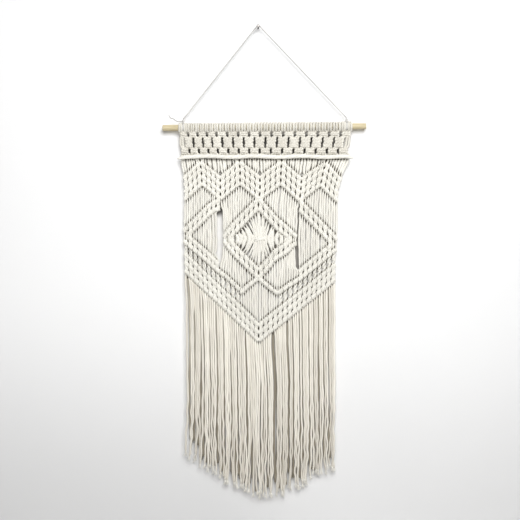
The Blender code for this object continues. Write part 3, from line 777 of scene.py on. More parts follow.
@dataclass(frozen=True)
class CottonFinish:
    """Matt twisted cotton cord."""

    name: str
    light: tuple = (0.82, 0.805, 0.745, 1.0)
    deep: tuple = (0.30, 0.265, 0.205, 1.0)
    plies: float = 3.0
    turns: float = 230.0  # a metre
    by_strand: float = 0.12  # these four add the deeper colour: random tone, painted shade in knots and grooves, mottle
    in_knots: float = 0.30
    in_grooves: float = 0.20
    mottled: float = 0.08
    relief: float = 0.55
    depth: float = 0.45 * MM
    fibre_relief: float = 0.25
    fibre_depth: float = 0.3 * MM
    rough: tuple = (0.82, 0.98)
    shut_in: float = 0.0  # painted shade on the side towards the front, for cords behind the cloth

    def make(self, effects: Effects) -> bpy.types.Material:
        """Builds the material.

        Args:
            effects: The shared node groups.

        Returns:
            The material.
        """
        made, board, shader = new_material(self.name)
        twist = board.group(effects.twist, Plies=self.plies, Turns_a_metre=self.turns).outputs
        fibre = board.group(effects.fibre).outputs
        # the deeper colour's share: random tone and mottle, with painted shade in knots and ply grooves
        shares = {"By_strand": self.by_strand, "In_knots": self.in_knots, "In_grooves": self.in_grooves}
        shares |= {"Mottled": self.mottled, "Groove": twist["Groove"], "Mottle": fibre["Mottle"]}
        share = board.group(effects.shade, **shares).outputs[0]
        # painted shade on the side towards the front
        if self.shut_in:
            share = board.plus(share, board.group(effects.facing, Amount=self.shut_in).outputs[0])
        plies = board.bump(self.relief, self.depth, twist["Height"])
        board.feed(
            shader,
            Base_Color=board.blend(share, self.light, self.deep),
            Roughness=board.span(fibre["Height"], *self.rough),
            Sheen_Weight=0.15,
            Sheen_Roughness=0.6,
            Specular_IOR_Level=0.2,
            Normal=board.bump(self.fibre_relief, self.fibre_depth, fibre["Height"], Normal=plies),
        )
        return made


@dataclass(frozen=True)
class WoodFinish:
    """Pale sanded wood."""

    name: str = "pale_pine"
    light: tuple = (0.515, 0.44, 0.265, 1.0)
    line: tuple = (0.37, 0.30, 0.165, 1.0)
    warm: tuple = (0.60, 0.52, 0.345, 1.0)
    lines: float = 0.45  # the share of the line's colour in the grain lines, and in the pores
    pores: float = 0.3
    rough: tuple = (0.48, 0.66)
    relief: float = 0.25
    depth: float = 0.15 * MM

    def make(self, effects: Effects) -> bpy.types.Material:
        """Builds the material.

        Args:
            effects: The shared node groups.

        Returns:
            The material.
        """
        made, board, shader = new_material(self.name)
        grain = board.group(effects.grain).outputs
        ground = board.blend(grain["Drift"], self.light, self.warm)
        lined = board.blend(board.times(grain["Lines"], self.lines), ground, self.line)
        board.feed(
            shader,
            Base_Color=board.blend(board.times(grain["Pores"], self.pores), lined, self.line),
            Roughness=board.span(grain["Lines"], *self.rough),
            Normal=board.bump(self.relief, self.depth, board.plus(grain["Lines"], grain["Pores"])),
        )
        return made


@dataclass(frozen=True)
class SteelFinish:
    """Dull grey nail steel."""

    name: str = "nail_steel"
    light: tuple = (0.30, 0.29, 0.28, 1.0)
    dark: tuple = (0.13, 0.12, 0.115, 1.0)
    fine: float = 2600.0
    blotches: float = 600.0
    rough: tuple = (0.3, 0.6)
    relief: float = 0.2
    depth: float = 0.05 * MM

    def make(self, effects: Effects) -> bpy.types.Material:
        """Builds the material.

        Args:
            effects: The shared node groups.

        Returns:
            The material.
        """
        made, board, shader = new_material(self.name)
        uneven = board.group(effects.fibre, Fibre_scale=self.fine, Mottle_scale=self.blotches).outputs
        board.feed(
            shader,
            Base_Color=board.blend(uneven["Mottle"], self.dark, self.light),
            Roughness=board.span(uneven["Height"], *self.rough),
            Metallic=1.0,
            Normal=board.bump(self.relief, self.depth, uneven["Height"]),
        )
        return made


class Finishes:
    """Every finish of the hanging."""

    def __init__(self) -> None:
        """Builds the materials."""
        effects = Effects()

        def cotton(name: str, light: tuple = CottonFinish.light, **values: object) -> bpy.types.Material:
            """Makes a cotton finish that differs from the plain one in some values."""
            return CottonFinish(name, light=light, **values).make(effects)

        self.cord = cotton("cotton_cord")
        # painted shade: the heading is the same cord, given a darker colour and more groove shade
        self.heading = cotton("cotton_heading_painted_shade", (0.765, 0.745, 0.68, 1.0), by_strand=0.2, in_grooves=0.45)
        self.hitch = cotton("cotton_hitches", turns=300.0, by_strand=0.08, relief=0.4)
        self.cross = cotton("cotton_cross_cord", turns=70.0, relief=0.5, in_grooves=0.2, depth=0.6 * MM)
        # painted light: the fringe is the same cotton, given a paler colour
        deep_tone_and_shade = (0.30, 0.26, 0.20, 1.0)
        self.fringe = cotton("cotton_fringe", (0.885, 0.855, 0.775, 1.0), deep=deep_tone_and_shade, by_strand=0.26)
        # painted shade: the layer behind the fringe, darker lower down and towards the front
        deep_tone_and_shade = (0.27, 0.24, 0.185, 1.0)
        shares = {"by_strand": 0.3, "in_knots": 0.7, "shut_in": 0.62}
        self.inner = cotton("cotton_inner", (0.83, 0.80, 0.71, 1.0), deep=deep_tone_and_shade, **shares)
        # painted shade: the rows' backs are near black on their side towards the front
        self.backs = cotton("cotton_backs_painted_shade", (0.80, 0.78, 0.70, 1.0), deep=(0.10, 0.085, 0.065, 1.0), shut_in=1.0)
        # painted highlight: the frayed ends are paler than the cord
        self.tips = cotton("cotton_tips_painted_highlight", (0.93, 0.91, 0.85, 1.0), relief=0.0)
        deep_tone_and_shade, pale = (0.27, 0.26, 0.25, 1.0), (0.62, 0.61, 0.59, 1.0)
        self.hanger = cotton("hanger_cotton", pale, deep=deep_tone_and_shade, turns=420.0, by_strand=0.6, depth=0.3 * MM)
        self.wood = WoodFinish().make(effects)
        self.steel = SteelFinish().make(effects)


# ---------------------------------------------------------------- camera, lights, wall and floor


@dataclass
class Studio:
    """The camera, the soft lights, the plain floor and the wall with its painted shade."""

    centre: tuple = (3.3 * MM, -458.0 * MM)
    distance: float = 2.2
    view_width: float = 1.022
    sensor: float = 36.0
    lamps: tuple = (
        # name, place, the point that it faces, the length of its sides, its power in watts, its beam in degrees
        ("key", (0.26, -1.68, 0.5), (0.0, 0.0, -0.38), 1.3, 23.7, 120.0),
        ("fill", (-0.8, -2.0, -0.45), (0.0, 0.0, -0.6), 1.6, 5.0, 180.0),
        ("back", (0.2, 1.6, 0.6), (0.0, 0.0, -0.45), 1.2, 20.0, 180.0),
    )
    sky: tuple = (0.95, 0.97, 1.0, 1.0)
    sky_strength: float = 0.08
    wall_colour: tuple = (0.82, 0.82, 0.82, 1.0)
    wall_gap: float = 0.4 * MM  # how far it lies behind the hanging's back
    wall_half: float = 2.5
    wall_top: float = 1.8
    painted_shade_patches: tuple = (
        # painted shade on the wall: left, right, upper and lower drop, softness, in millimetres, then the tone and its
        # warmth
        (-143.0, 170.0, 207.0, 252.0, 6.0, 0.08, 0.1),
        (-46.0, 52.0, 384.0, 446.0, 8.0, 0.20, 0.1),
        (-114.0, -46.0, 350.0, 488.0, 22.0, 0.69, 0.02),
        (-98.0, -54.0, 334.0, 378.0, 16.0, 0.12, 0.1),
        (60.0, 98.0, 340.0, 490.0, 16.0, 0.24, 0.1),
        (-150.0, 165.0, 256.0, 292.0, 10.0, 0.34, 0.1),
        # painted shade: the wall darker low down, more so on the left
        (-1500.0, 420.0, 480.0, 2600.0, 520.0, 0.635, 0.0),
        (-100.0, 1500.0, 560.0, 2600.0, 420.0, 0.72, 0.0),
    )
    green: float = 0.4  # how much of the warmth green gives up, against blue
    floor_colour: tuple = (0.78, 0.77, 0.75, 1.0)
    floor_drop: float = 1.35
    floor_half: float = 4.0

    def build(self) -> None:
        """Sets everything up."""
        self.camera()
        self.lights()
        self.wall()
        self.floor()
        bpy.context.scene.view_settings.view_transform = "Standard"

    def camera(self) -> None:
        """Looks square at the wall."""
        lens = bpy.data.cameras.new("camera")
        lens.sensor_width = self.sensor
        lens.lens = self.sensor * self.distance / self.view_width
        made = put("camera", lens)
        made.location = (self.centre[0], -self.distance + SHEET_Y, self.centre[1])
        made.rotation_euler = (math.pi / 2, 0.0, 0.0)
        bpy.context.scene.camera = made

    def lights(self) -> None:
        """Lights the hanging softly from above and in front, with a weak fill, one behind and a pale sky."""
        for name, where, towards, size, power, beam in self.lamps:
            lamp = bpy.data.lights.new(name, "AREA")
            lamp.size = size
            lamp.energy = power
            lamp.spread = math.radians(beam)
            made = put(name, lamp)
            made.location = where
            made.rotation_euler = (Vector(towards) - Vector(where)).to_track_quat("-Z", "Y").to_euler()
        world = bpy.data.worlds.new("world")
        bpy.context.scene.world = world
        world.use_nodes = True
        ground = world.node_tree.nodes["Background"]
        Board(world.node_tree).feed(ground, Color=self.sky, Strength=self.sky_strength)

    def wall(self) -> None:
        """A wall behind the hanging, with painted shade, which is not seen from behind."""
        made, board, shader = new_material("plain_wall")
        clear = board.node("BsdfTransparent").outputs[0]
        facing = board.node("NewGeometry").outputs["Backfacing"]
        either = board.node("MixShader", in_0=facing, in_1=shader.outputs[0], in_2=clear).outputs[0]
        board.feed(made.node_tree.nodes["Material Output"], Surface=either)
        board.feed(shader, Base_Color=self.shade(board), Roughness=0.9)
        half, low, high = self.wall_half, -self.floor_drop, self.wall_top
        wall = self.plane("wall", [(-half, 0.0, low), (half, 0.0, low), (half, 0.0, high), (-half, 0.0, high)], made)
        wall.location.y = self.wall_gap
        wall.visible_shadow = False

    def shade(self, board: Board) -> bpy.types.NodeSocket:
        """Paints shade on the wall: darker low down, and close behind the net, the star and the tall openings.

        Args:
            board: The wall material's board.

        Returns:
            The wall's colour, with its painted shade.
        """
        where = board.node("SeparateXYZ", Vector=board.node("TexCoord").outputs["Object"])
        colour: object = self.wall_colour
        for left, right, upper, lower, soft, tone, warm in self.painted_shade_patches:
            share: object = 1.0
            for axis, low, high in ((0, left, right), (2, -lower, -upper)):
                for edge, full in ((low, low + soft), (high, high - soft)):
                    share = board.times(share, board.ramp(where.outputs[axis], edge * MM, full * MM))
            colour = board.blend(share, colour, (tone, (1 - self.green * warm) * tone, (1 - warm) * tone, 1.0))
        return colour

    def floor(self) -> None:
        """A plain pale floor, well below the hanging."""
        made, board, shader = new_material("plain_floor")
        board.feed(shader, Base_Color=self.floor_colour, Roughness=0.8)
        half, z = self.floor_half, -self.floor_drop
        self.plane("floor", [(-half, -half, z), (half, -half, z), (half, half, z), (-half, half, z)], made)

    @staticmethod
    def plane(name: str, corners: Sequence[tuple], finish: bpy.types.Material) -> bpy.types.Object:
        """Adds a flat backdrop.

        Args:
            name: The object's name.
            corners: Its corners, counter-clockwise from its front.
            finish: Its material.

        Returns:
            The object.
        """
        mesh = bpy.data.meshes.new(name)
        mesh.from_pydata(list(corners), [], [(0, 1, 2, 3)])
        mesh.materials.append(finish)
        made = put(name, mesh)
        return made


# ---------------------------------------------------------------- hanger, ties, dowel and nail


@dataclass
class Hanger:
    """The thin cord over the nail, and the tie at each of its ends."""

    radius: float = 1.25 * MM
    nail_radius: float = 1.5 * MM
    clear: float = 0.3 * MM
    leg_points: int = 24
    turn_points: int = 14
    pale_below: tuple = (90 * MM, 175 * MM)  # the drops between which the grey legs turn pale
    upper_shade: float = 0.9
    tie_radius: float = 1.0 * MM
    tie_ring: float = 7.3 * MM
    tie_turns: int = 2
    tie_pitch: float = 1.05 * MM
    knot_rise: float = 11.9 * MM  # from the dowel's axis to the knot's middle
    knot_half: float = 4.1 * MM
    wrap_turns: float = 2.6  # half of the knot's turns
    wrap_ring: float = 1.55 * MM
    wrap_barrel: float = 1.15  # how much the knot narrows towards its ends
    core_radius: float = 1.2 * MM
    samples: tuple = (28, 61, 7, 8)  # for a turn, for the knot's wraps, for its core and for each part of the tail
    tail: tuple = (
        # to the right of the knot, towards the wall and up, in millimetres
        (-0.5, -1.5, 0.5), (-4.0, -3.0, 0.2), (-9.0, -3.4, -0.6), (-14.0, -2.8, 2.0), (-20.0, -3.0, 5.4),
        (-25.0, -2.6, 8.0), (-28.5, -2.0, 12.5),
    )
    crimps: tuple = ((0.5 * MM, 22.0), (0.7 * MM, 19.0))  # its small waves in depth and in height, and their pace
    tail_radius: tuple = ((0, 0.85, 1), (1.0 * MM, 0.95 * MM, 0.6 * MM))

    @staticmethod
    def tie_x(side: Side) -> float:
        """Where a tie goes round the dowel."""
        return float(CHART.x(TIE_PLACES[side], CHART.dowel_drop))

    def foot(self, side: Side) -> tuple:
        """Where a leg comes out of its tie's knot, as (x, height)."""
        x = self.tie_x(side)
        return x, -CHART.axis_drop(x) + self.knot_rise + self.knot_half + self.clear + self.radius / 2

    def route(self) -> np.ndarray:
        """Lays the cord's middle line: up one leg, round the nail and down the other.

        Returns:
            The route's points.
        """
        bend = self.nail_radius + self.clear + self.radius
        touches = {}
        for side in Side:
            x, top = self.foot(side)
            lean = math.atan2(x * side.value, -top)
            touches[side] = lean + math.acos(bend / math.hypot(x, top))
        left, right = touches[Side.LEFT], touches[Side.RIGHT]
        sweep = 2 * math.pi - left - right
        angles = -left - sweep * np.linspace(0, 1, self.turn_points + 1)
        turn = np.stack([bend * np.sin(angles), -bend * np.cos(angles)], axis=-1)
        share = np.linspace(0, 1, self.leg_points + 1)[:, None]
        up = np.asarray(self.foot(Side.LEFT)) * (1 - share) + turn[0] * share
        down = turn[-1] * (1 - share) + np.asarray(self.foot(Side.RIGHT)) * share
        flat = np.vstack([up, turn[1:-1], down])
        return np.stack([flat[:, 0], np.full(len(flat), SHEET_Y), flat[:, 1]], axis=-1)

    def build(self, finishes: Finishes) -> None:
        """Makes the cord and both ties.

        Args:
            finishes: The materials.
        """
        route = self.route()
        tubes = Tubes()
        upper = 1 - ease(*self.pale_below, -route[:, 2])
        tubes.add(route, self.radius, sides=10, tones=0.0, up=WALLWARD, nooks=self.upper_shade * upper)
        cord = place(tubes.build("hanger_cord_line", finishes.hanger), Slot.HANGER, "hanger_cord")
        ties = [self.tie(side, finishes) for side in Side]

    def tie(self, side: Side, finishes: Finishes) -> bpy.types.Object:
        """Makes one tie: two turns round the dowel, a wrapped knot and, on the left, the free end.

        Args:
            side: Which end of the hanger.
            finishes: The materials.

        Returns:
            The tie.
        """
        x = self.tie_x(side)
        centre = np.array([x, SHEET_Y, -CHART.axis_drop(x)])
        knot = centre + self.knot_rise * UPWARD
        tubes = Tubes()
        ring, wound, core, stretch = self.samples
        turns = np.linspace(0, self.tie_turns, ring * self.tie_turns + 1)
        angle, sway = 2 * math.pi * turns, (turns - self.tie_turns / 2) * self.tie_pitch
        coil = np.stack([sway, self.tie_ring * np.sin(angle), self.tie_ring * np.cos(angle)], axis=-1)
        tubes.add(centre + coil, self.tie_radius, tones=0.1, up=RIGHTWARD)
        rise = np.linspace(-1, 1, wound)
        spin, wide = 2 * math.pi * self.wrap_turns * rise, self.wrap_ring * np.cos(self.wrap_barrel * rise) ** 0.5
        wraps = np.stack([wide * np.cos(spin), wide * np.sin(spin), rise * (self.knot_half - self.tie_radius)], axis=-1)
        tubes.add(knot + wraps, self.tie_radius, tones=0.3)
        height = np.linspace(-self.knot_half, self.knot_half, core)[:, None]
        tubes.add(knot + height * UPWARD, self.core_radius, tones=0.1)
        if side is Side.LEFT:
            line = smooth(np.asarray(self.tail) * MM, stretch)
            curl = np.linspace(0, 1, len(line))
            (deep, quick), (tall, slow) = self.crimps
            line[:, 1] += deep * np.sin(curl * quick) * curl
            line[:, 2] += tall * np.cos(curl * slow) * curl
            tubes.add(knot + line, np.interp(curl, *self.tail_radius), tones=0.9)
        name = side.name.lower()
        return place(tubes.build(f"tie_{name}", finishes.hanger), Slot.HANGER, f"hanger_knot_{name}")


class Hardware:
    """The dowel and the nail, which keep their own solids."""

    @staticmethod
    def dress(finishes: Finishes) -> None:
        """Gives the dowel and the nail their materials.

        Args:
            finishes: The materials.
        """
        for node, finish in (("dowel", finishes.wood), ("nail", finishes.steel)):
            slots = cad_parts[node].data.materials
            slots.clear()
            slots.append(finish)
            LOG.info("%s: dressed", node)


# ---------------------------------------------------------------- heading: lark's heads and square knots


@dataclass
class Heading:
    """The lark's heads round the dowel and the three rows of square knots under them."""

    head_fill: float = 0.455  # the heads' radius against the strands' spacing
    bight_radius: float = 1.8 * MM
    net_radius: float = 2.4 * MM
    samples: int = 3  # from one point of a route to the next
    radius_at: tuple = (0, 4.5, 19.5, 25.5)  # the samples where it is the bight's, the head's twice and the net's
    lean: float = 0.25 * MM
    bight: tuple = (4.6, -8.8)  # where a pair meets behind the dowel, towards the wall and up, in millimetres
    turn: tuple = (
        # from there round the dowel: the share of the lean, then towards the wall and up, in millimetres
        (-2, 6.6, -6.4), (0, 7.9, -0.5), (0, 5.609, 5.609), (0, 0.0, 7.9), (0, -5.609, 5.609), (1, -7.9, 0.0),
        (1, -6.32, -4.898), (0, -3.318, -8.532),
    )
    slot_shift: float = 1.1 * MM  # how far the heads beside the hanger's ties make way
    gather_drop: float = 250.2 * MM
    last_drop: float = 257.0 * MM
    knot_rows: tuple = (
        # first and last boundary, the knots' middles (drop and half the hole beside it), half height, in millimetres
        (2, 62, ((210.2, 1.95),), 4.2),
        (4, 60, ((221.9, 1.3), (227.8, 2.3), (233.7, 1.3)), 3.4),
        (2, 62, ((244.0, 1.8),), 4.2),
    )
    loose: float = 0.5  # unevenness in depth beside the knots, in millimetres
    uneven: float = 0.25  # unevenness of each knot's place, in millimetres
    uneven_aside: float = 0.6  # how much of that goes sideways
    over: tuple = (
        # for a strand that ties a knot from the left, its upper half: to the right and towards the wall in
        # millimetres, and up as a share of the knot's half height
        (-5.1, -1.5, 1.16), (-5.6, -1.7, 0.85), (-4.6, -2.0, 0.62), (-2.4, -3.3, 0.46), (0.0, -3.7, 0.42),
        (2.4, -3.3, 0.40), (4.6, -2.0, 0.36), (6.2, -0.6, 0.0),
    )
    under: tuple = (
        # the same for the one that ties it from the right
        (5.1, -1.5, 1.16), (6.0, -2.6, 0.85), (6.1, -2.8, 0.55), (5.6, 0.2, 0.35), (3.0, 3.0, 0.28), (0.0, 3.6, 0.28),
        (-3.2, 3.0, 0.30), (-5.4, 1.0, 0.36), (-6.2, -1.8, 0.30), (-5.9, -3.4, 0.0),
    )
    inner: tuple = ((1.75, -1.4, 1.1), (1.75, 0.1, 0.0), (1.75, -1.4, -1.1))
    reach: float = 6.2  # how far the tying strands go from the knot's middle

    def build(self, finishes: Finishes) -> None:
        """Makes every strand of the heading, from the dowel's back to under the cross cord.

        Args:
            finishes: The materials.
        """
        draw = np.random.default_rng(Seed.HEADING.value)
        tubes = Tubes()
        for strand in range(STRANDS):
            route = smooth(self.route(strand, draw), self.samples)
            pitch = float(CHART.x(strand + 1, CHART.dowel_drop) - CHART.x(strand, CHART.dowel_drop))
            head = self.head_fill * pitch
            radii = (self.bight_radius, head, head, self.net_radius)
            tubes.add(route, np.interp(np.arange(len(route)), self.radius_at, radii), tones=draw.uniform())
        place(tubes.build("heading_strands", finishes.heading), Slot.CORD, "heading")

    def route(self, strand: int, draw: np.random.Generator) -> list:
        """Lists the points that a strand passes through.

        Args:
            strand: The strand's number.
            draw: The source of small unevenness.

        Returns:
            The points.
        """
        points = self.head(strand)
        for first, last, levels, half in self.knot_rows:
            middle = first + 4 * ((strand - first + 2) // 4)
            for drop, hole in levels:
                if first <= middle <= last:
                    points += self.knot(strand - middle + 2, middle, (drop, half, hole), draw)
                else:
                    x = float(CHART.x(strand + 0.5, drop * MM))
                    points.append((x, SHEET_Y + draw.uniform(-self.loose, self.loose) * MM, -drop * MM))
        x = float(CHART.x(strand + 0.5, self.last_drop))
        return points + [(x, SHEET_Y, -self.gather_drop), (x, SHEET_Y, -self.last_drop)]

    def head(self, strand: int) -> list:
        """Lists a strand's points round the dowel, from the bight behind it.

        Args:
            strand: The strand's number.

        Returns:
            The points.
        """
        x = float(CHART.x(strand + 0.5, CHART.dowel_drop))
        pair = float(CHART.x(2 * (strand // 2) + 1, CHART.dowel_drop))
        for tie in TIE_PLACES.values():
            x += self.slot_shift * ((strand == tie) - (strand == tie - 1))
        lean = -self.lean * even(strand)
        axis = -float(CHART.axis_drop(x))
        ring = [(pair, *self.bight)] + [(x + share * lean, deep, up) for share, deep, up in self.turn]
        return [(px, SHEET_Y + py * MM, axis + pz * MM) for px, py, pz in ring]

    def knot(self, seat: int, middle: int, sizes: tuple, draw: np.random.Generator) -> list:
        """Lists a strand's points in one square knot.

        Args:
            seat: The strand's seat in the knot, 0 to 3 from the left. The outer two tie it round the inner two.
            middle: The strand boundary at the knot's middle.
            sizes: The drop of the knot's middle, half its height and half the hole beside it, in millimetres.
            draw: The source of small unevenness.

        Returns:
            The points.
        """
        drop, half, hole = sizes
        x, z = float(CHART.x(middle, drop * MM)), -drop * MM
        pitch = float(CHART.x(middle + 2, drop * MM) - CHART.x(middle - 2, drop * MM)) / MM
        wide = (pitch / 2 - hole - self.net_radius / MM) / self.reach
        aside, deep, up = draw.uniform(-self.uneven, self.uneven, 3)
        if seat in (1, 2):
            shape = [((2 * seat - 3) * px, py, pz) for px, py, pz in self.inner]
        else:
            upper = self.over if seat == 0 else self.under
            shape = [*upper, *((px, py, -pz) for px, py, pz in reversed(upper) if pz > 0)]
        return [
            (x + (px * wide + self.uneven_aside * aside) * MM, SHEET_Y + (py + deep) * MM, z + (pz * half + up) * MM)
            for px, py, pz in shape
        ]


@dataclass
class CrossCord:
    """The thick smooth cord that runs across under the net."""

    drop: float = 255.6 * MM
    tall: float = 8.0 * MM
    deep: float = 5.6 * MM
    ends: tuple = (-159.0 * MM, 186.5 * MM)
    end_sag: float = 3.6 * MM
    taper: float = 16 * MM
    wave: float = 0.9 * MM
    waves: float = 7.5  # half waves from end to end
    wave_start: float = 0.6
    uneven: float = 0.05
    uneven_paces: tuple = (61, 23)
    samples: int = 150
    thinner: float = 0.72  # how much thinner it is at its tips
    y: float = SHEET_Y - 8.9 * MM

    def build(self, finishes: Finishes) -> None:
        """Makes the cord.

        Args:
            finishes: The materials.
        """
        first, last = self.ends
        x = np.linspace(first, last, self.samples)
        share = (x - first) / (last - first)
        fall = np.clip(1 - np.minimum(x - first, last - x) / self.taper, 0, 1)
        wave = self.wave * np.sin(self.waves * math.pi * share + self.wave_start)
        drop = self.drop + wave + self.end_sag * fall
        quick, slow = self.uneven_paces
        size = (1 - self.thinner * fall**2) * (1 + self.uneven * np.sin(share * quick) * np.sin(share * slow))
        tubes = Tubes()
        tubes.add(spots(x, self.y, drop), size * self.deep / 2, sides=12, up=WALLWARD, flat=self.tall / self.deep)
        place(tubes.build("cross_cord_thick", finishes.cross), Slot.CORD, "cross_cord")


# ---------------------------------------------------------------- panel: free strands, hitches and star


@dataclass
class Panel:
    """The knotted body: strands that hang from bar to bar, and the bars of double half hitches."""

    top_drop: float = 252.0 * MM
    step: float = 2.6 * MM
    tight_radius: float = 1.25 * MM
    free_radius: tuple = (2.0 * MM, 2.7 * MM)
    fills: tuple = (0.25, 0.235)  # free strands' radius against two pitches, above and below fill_drop
    fill_drop: float = 300 * MM
    free_from: tuple = (2.4 * MM, 6.4 * MM)  # distances from a row's edge over which a strand gets free of it
    dark_to: tuple = (0.2 * MM, 2.0 * MM)  # and over which the painted shade of the knots ends
    painted_knot_shade: float = 0.5
    sway: tuple = (0.5 * MM, 0.55 * MM)  # free strands' unevenness, aside and in depth
    layers: float = 0.5 * MM  # how far every second free strand lies behind the others, to each side of the middle
    lifted: tuple = (1.5 * MM, 9 * MM)  # how far a free strand stands forward at a row, and over which length
    crowded: tuple = (12, 16, 1.5, 372, 448, 12)  # strands from and below, their parting in depth, drops, softness
    close_rows: float = 18.6 * MM
    pair_radius: float = 2.3 * MM
    pinch: float = 1.15 * MM  # how far the strands of a pair close up between two close rows
    thinner: float = 0.62  # and how much of that their radius loses
    forward: float = 2.5 * MM
    hitch_deep: float = 2.85 * MM
    hitch_radius: float = 1.6 * MM
    hitch_proud: float = 0.35 * MM
    hitch_lean: float = 0.55
    slope_run: float = 0.45  # strands to each side over which a hitch follows its row's slope
    uneven: float = 0.2  # of the hitches' places, in millimetres
    uneven_lean: float = 0.12
    uneven_radius: float = 0.08
    holding_inset: float = 0.3  # how far inside its row's ends the holding cord ends, in strands
    holding_radius: float = 1.7 * MM
    holding_points: float = 1.5  # for each strand that it crosses
    back_radius: float = 1.55 * MM
    back_reach: float = 8.2 * MM
    back_y: float = -8.4 * MM
    back_bow: float = 0.5 * MM
    back_samples: int = 6
    thin_share: float = 0.8  # the depth of the row under the cross cord, against the others
    thin_reach: float = 0.7
    corners: tuple = (
        # Small openings at the zigzag's corners: the strand boundaries, the row, how far below it, half the width and
        # the softness in millimetres, the strands that it reaches, and how quickly it fades.
        ((16, 32, 48), "zigzag_1", -9.0, 1.5, 8.0, 3, 0.8),
        ((8, 24, 40, 56), "zigzag_4", 6.0, 0.9, 6.0, 2, 1.0),
        ((8, 24, 40, 56), "zigzag_1", -8.0, 0.9, 4.5, 2, 1.0),
    )
    slits: tuple = (
        # strand boundary, drops from and to, width, in millimetres
        (11.0, 262, 272, 1.6), (13.0, 260, 279, 2.2), (15.0, 260, 283, 2.4), (16.1, 266, 287, 3.0),
        (17.2, 260, 282, 2.4), (19.2, 260, 278, 2.2), (21.0, 260, 272, 1.6), (27.4, 260, 272, 1.6),
        (29.2, 260, 277, 2.0), (30.7, 260, 281, 2.2), (32.1, 266, 287, 3.0), (33.2, 260, 283, 2.4),
        (34.5, 260, 280, 2.2), (36.2, 260, 274, 1.8), (44.6, 260, 272, 1.6), (46.9, 260, 281, 2.2),
        (48.3, 266, 287, 3.0), (49.4, 260, 283, 2.4), (50.8, 260, 280, 2.2), (7.4, 260, 264, 1.5),
        (24.0, 258, 262, 1.5), (40.4, 258, 262, 1.5), (57.0, 260, 264, 1.5), (2.0, 262, 274, 1.4),
        (53.0, 262, 272, 1.2), (61.5, 262, 276, 1.5), (5.7, 398, 420, 1.2), (7.7, 384, 400, 1.2),
        (9.8, 403, 436, 1.4), (11.8, 372, 443, 2.2), (13.8, 363, 383, 1.3), (21.0, 362, 392, 1.0),
        (26.6, 340, 362, 0.9), (36.4, 336, 360, 1.0), (40.0, 318, 364, 1.6), (43.0, 345, 392, 0.9),
        (51.2, 381, 415, 1.5), (53.1, 393, 456, 1.7), (56.3, 318, 372, 1.4), (57.0, 414, 439, 2.2),
        (59.6, 400, 425, 1.0), (32.0, 503, 575, 1.5), (33.4, 515, 572, 1.5), (29.5, 520, 560, 1.0),
        (36.0, 520, 562, 1.1), (39.5, 446, 486, 1.1), (43.6, 446, 480, 1.0), (21.4, 446, 480, 1.0),
        (27.0, 470, 500, 1.1),
    )
    slit_soft: float = 7.0
    slit_reach: tuple = (0.9, 3)  # how many strands give way beside it, and from which on none does
    slit_share: float = 0.75  # for a slit between two boundaries
    untwisted: tuple = (24, 40)
    twist_pitch: float = 27 * MM
    twist_uneven: tuple = ((0.45, 3.7), (0.17, 2.4))  # of the turns' number and places, and how it changes
    twist_ends: tuple = (2 * MM, 3 * MM)  # how far inside a twist's ends it is full, and how softly it starts
    twist_swing: tuple = (1.85 * MM, 1.25 * MM)  # how far twisted strands swing, aside and in depth
    twist_quick: float = 2.2  # how quickly they change sides
    row_margin: tuple = (5.0 * MM, 4.5 * MM)  # from a row's middle to where the twists, and the star's strands, begin
    hitch_sides: int = 6
    hitch_steps: int = 14
    hitch_places: tuple = ((0.333, 0.778), (0.222, 0.667))
    star_drop: float = 416.5 * MM
    star_strands: tuple = (19, 45)
    star_core: tuple = (24, 40)  # the strands that run to the knot in nearly straight lines
    star_hold: tuple = (2.0 * MM, 5.0 * MM)  # half the height of the gathered part, and how much more in the middle
    star_seats: tuple = (
        # strand boundary, its place at the star's level, in millimetres
        (18, -65.0), (20, -55.0), (21, -50.8), (22, -46.0), (23, -37.5), (24, -29.5), (25, -21.5), (26, -13.5),
        (27, -8.0), (28, -5.5), (30, -1.0), (32, 3.2), (34, 7.5), (36, 12.0), (37, 17.0), (38, 23.5), (39, 31.0),
        (40, 41.0), (41, 45.6), (42, 50.0), (44, 59.6), (46, 69.0),
    )
    star_slits: tuple = (
        # strand boundary, width in millimetres, and the share of the gathering over which it shows
        (22, 3.2, 0.75, 1.0), (24, 2.2, 0.3, 0.7), (25, 2.4, 0.35, 0.85), (27, 2.4, 0.15, 0.8), (28, 1.6, 0.15, 0.5),
        (30, 1.5, 0.1, 0.4), (31, 1.7, 0.1, 0.45), (33, 1.9, 0.1, 0.6), (35, 1.8, 0.1, 0.45), (36, 1.6, 0.15, 0.6),
        (37, 2.2, 0.15, 0.8), (39, 2.5, 0.15, 0.85), (40, 1.8, 0.6, 1.0), (42, 2.4, 0.8, 1.0),
    )
    star_soft: float = 0.12
    star_bow: float = 0.25  # how much the strands round its knot bow
    star_middle: float = 5.0  # how many strands to each side belong to its middle
    star_depth: tuple = (1.5 * MM, 2.2 * MM)  # the parting of its strands in depth, and how far they come forward
    star_fill: float = 0.56  # its strands' radius against their spacing
    star_swell: tuple = (0.1, 0.8)  # the shares of the gathering over which they widen
    star_radius: tuple = (1.9 * MM, 4.2 * MM)
    wrap_strands: tuple = (28, 36)
    wrap_radius: float = 1.85 * MM
    wrap_size: tuple = (1.8 * MM, 3.9 * MM, 1.6 * MM)  # past the strands aside, in depth, and its slant
    wrap_gap: float = 3.4 * MM
    wrap_turns: int = 2
    wrap_square: float = 0.8  # the lower, the squarer it goes round the strands
    wrap_samples: int = 28

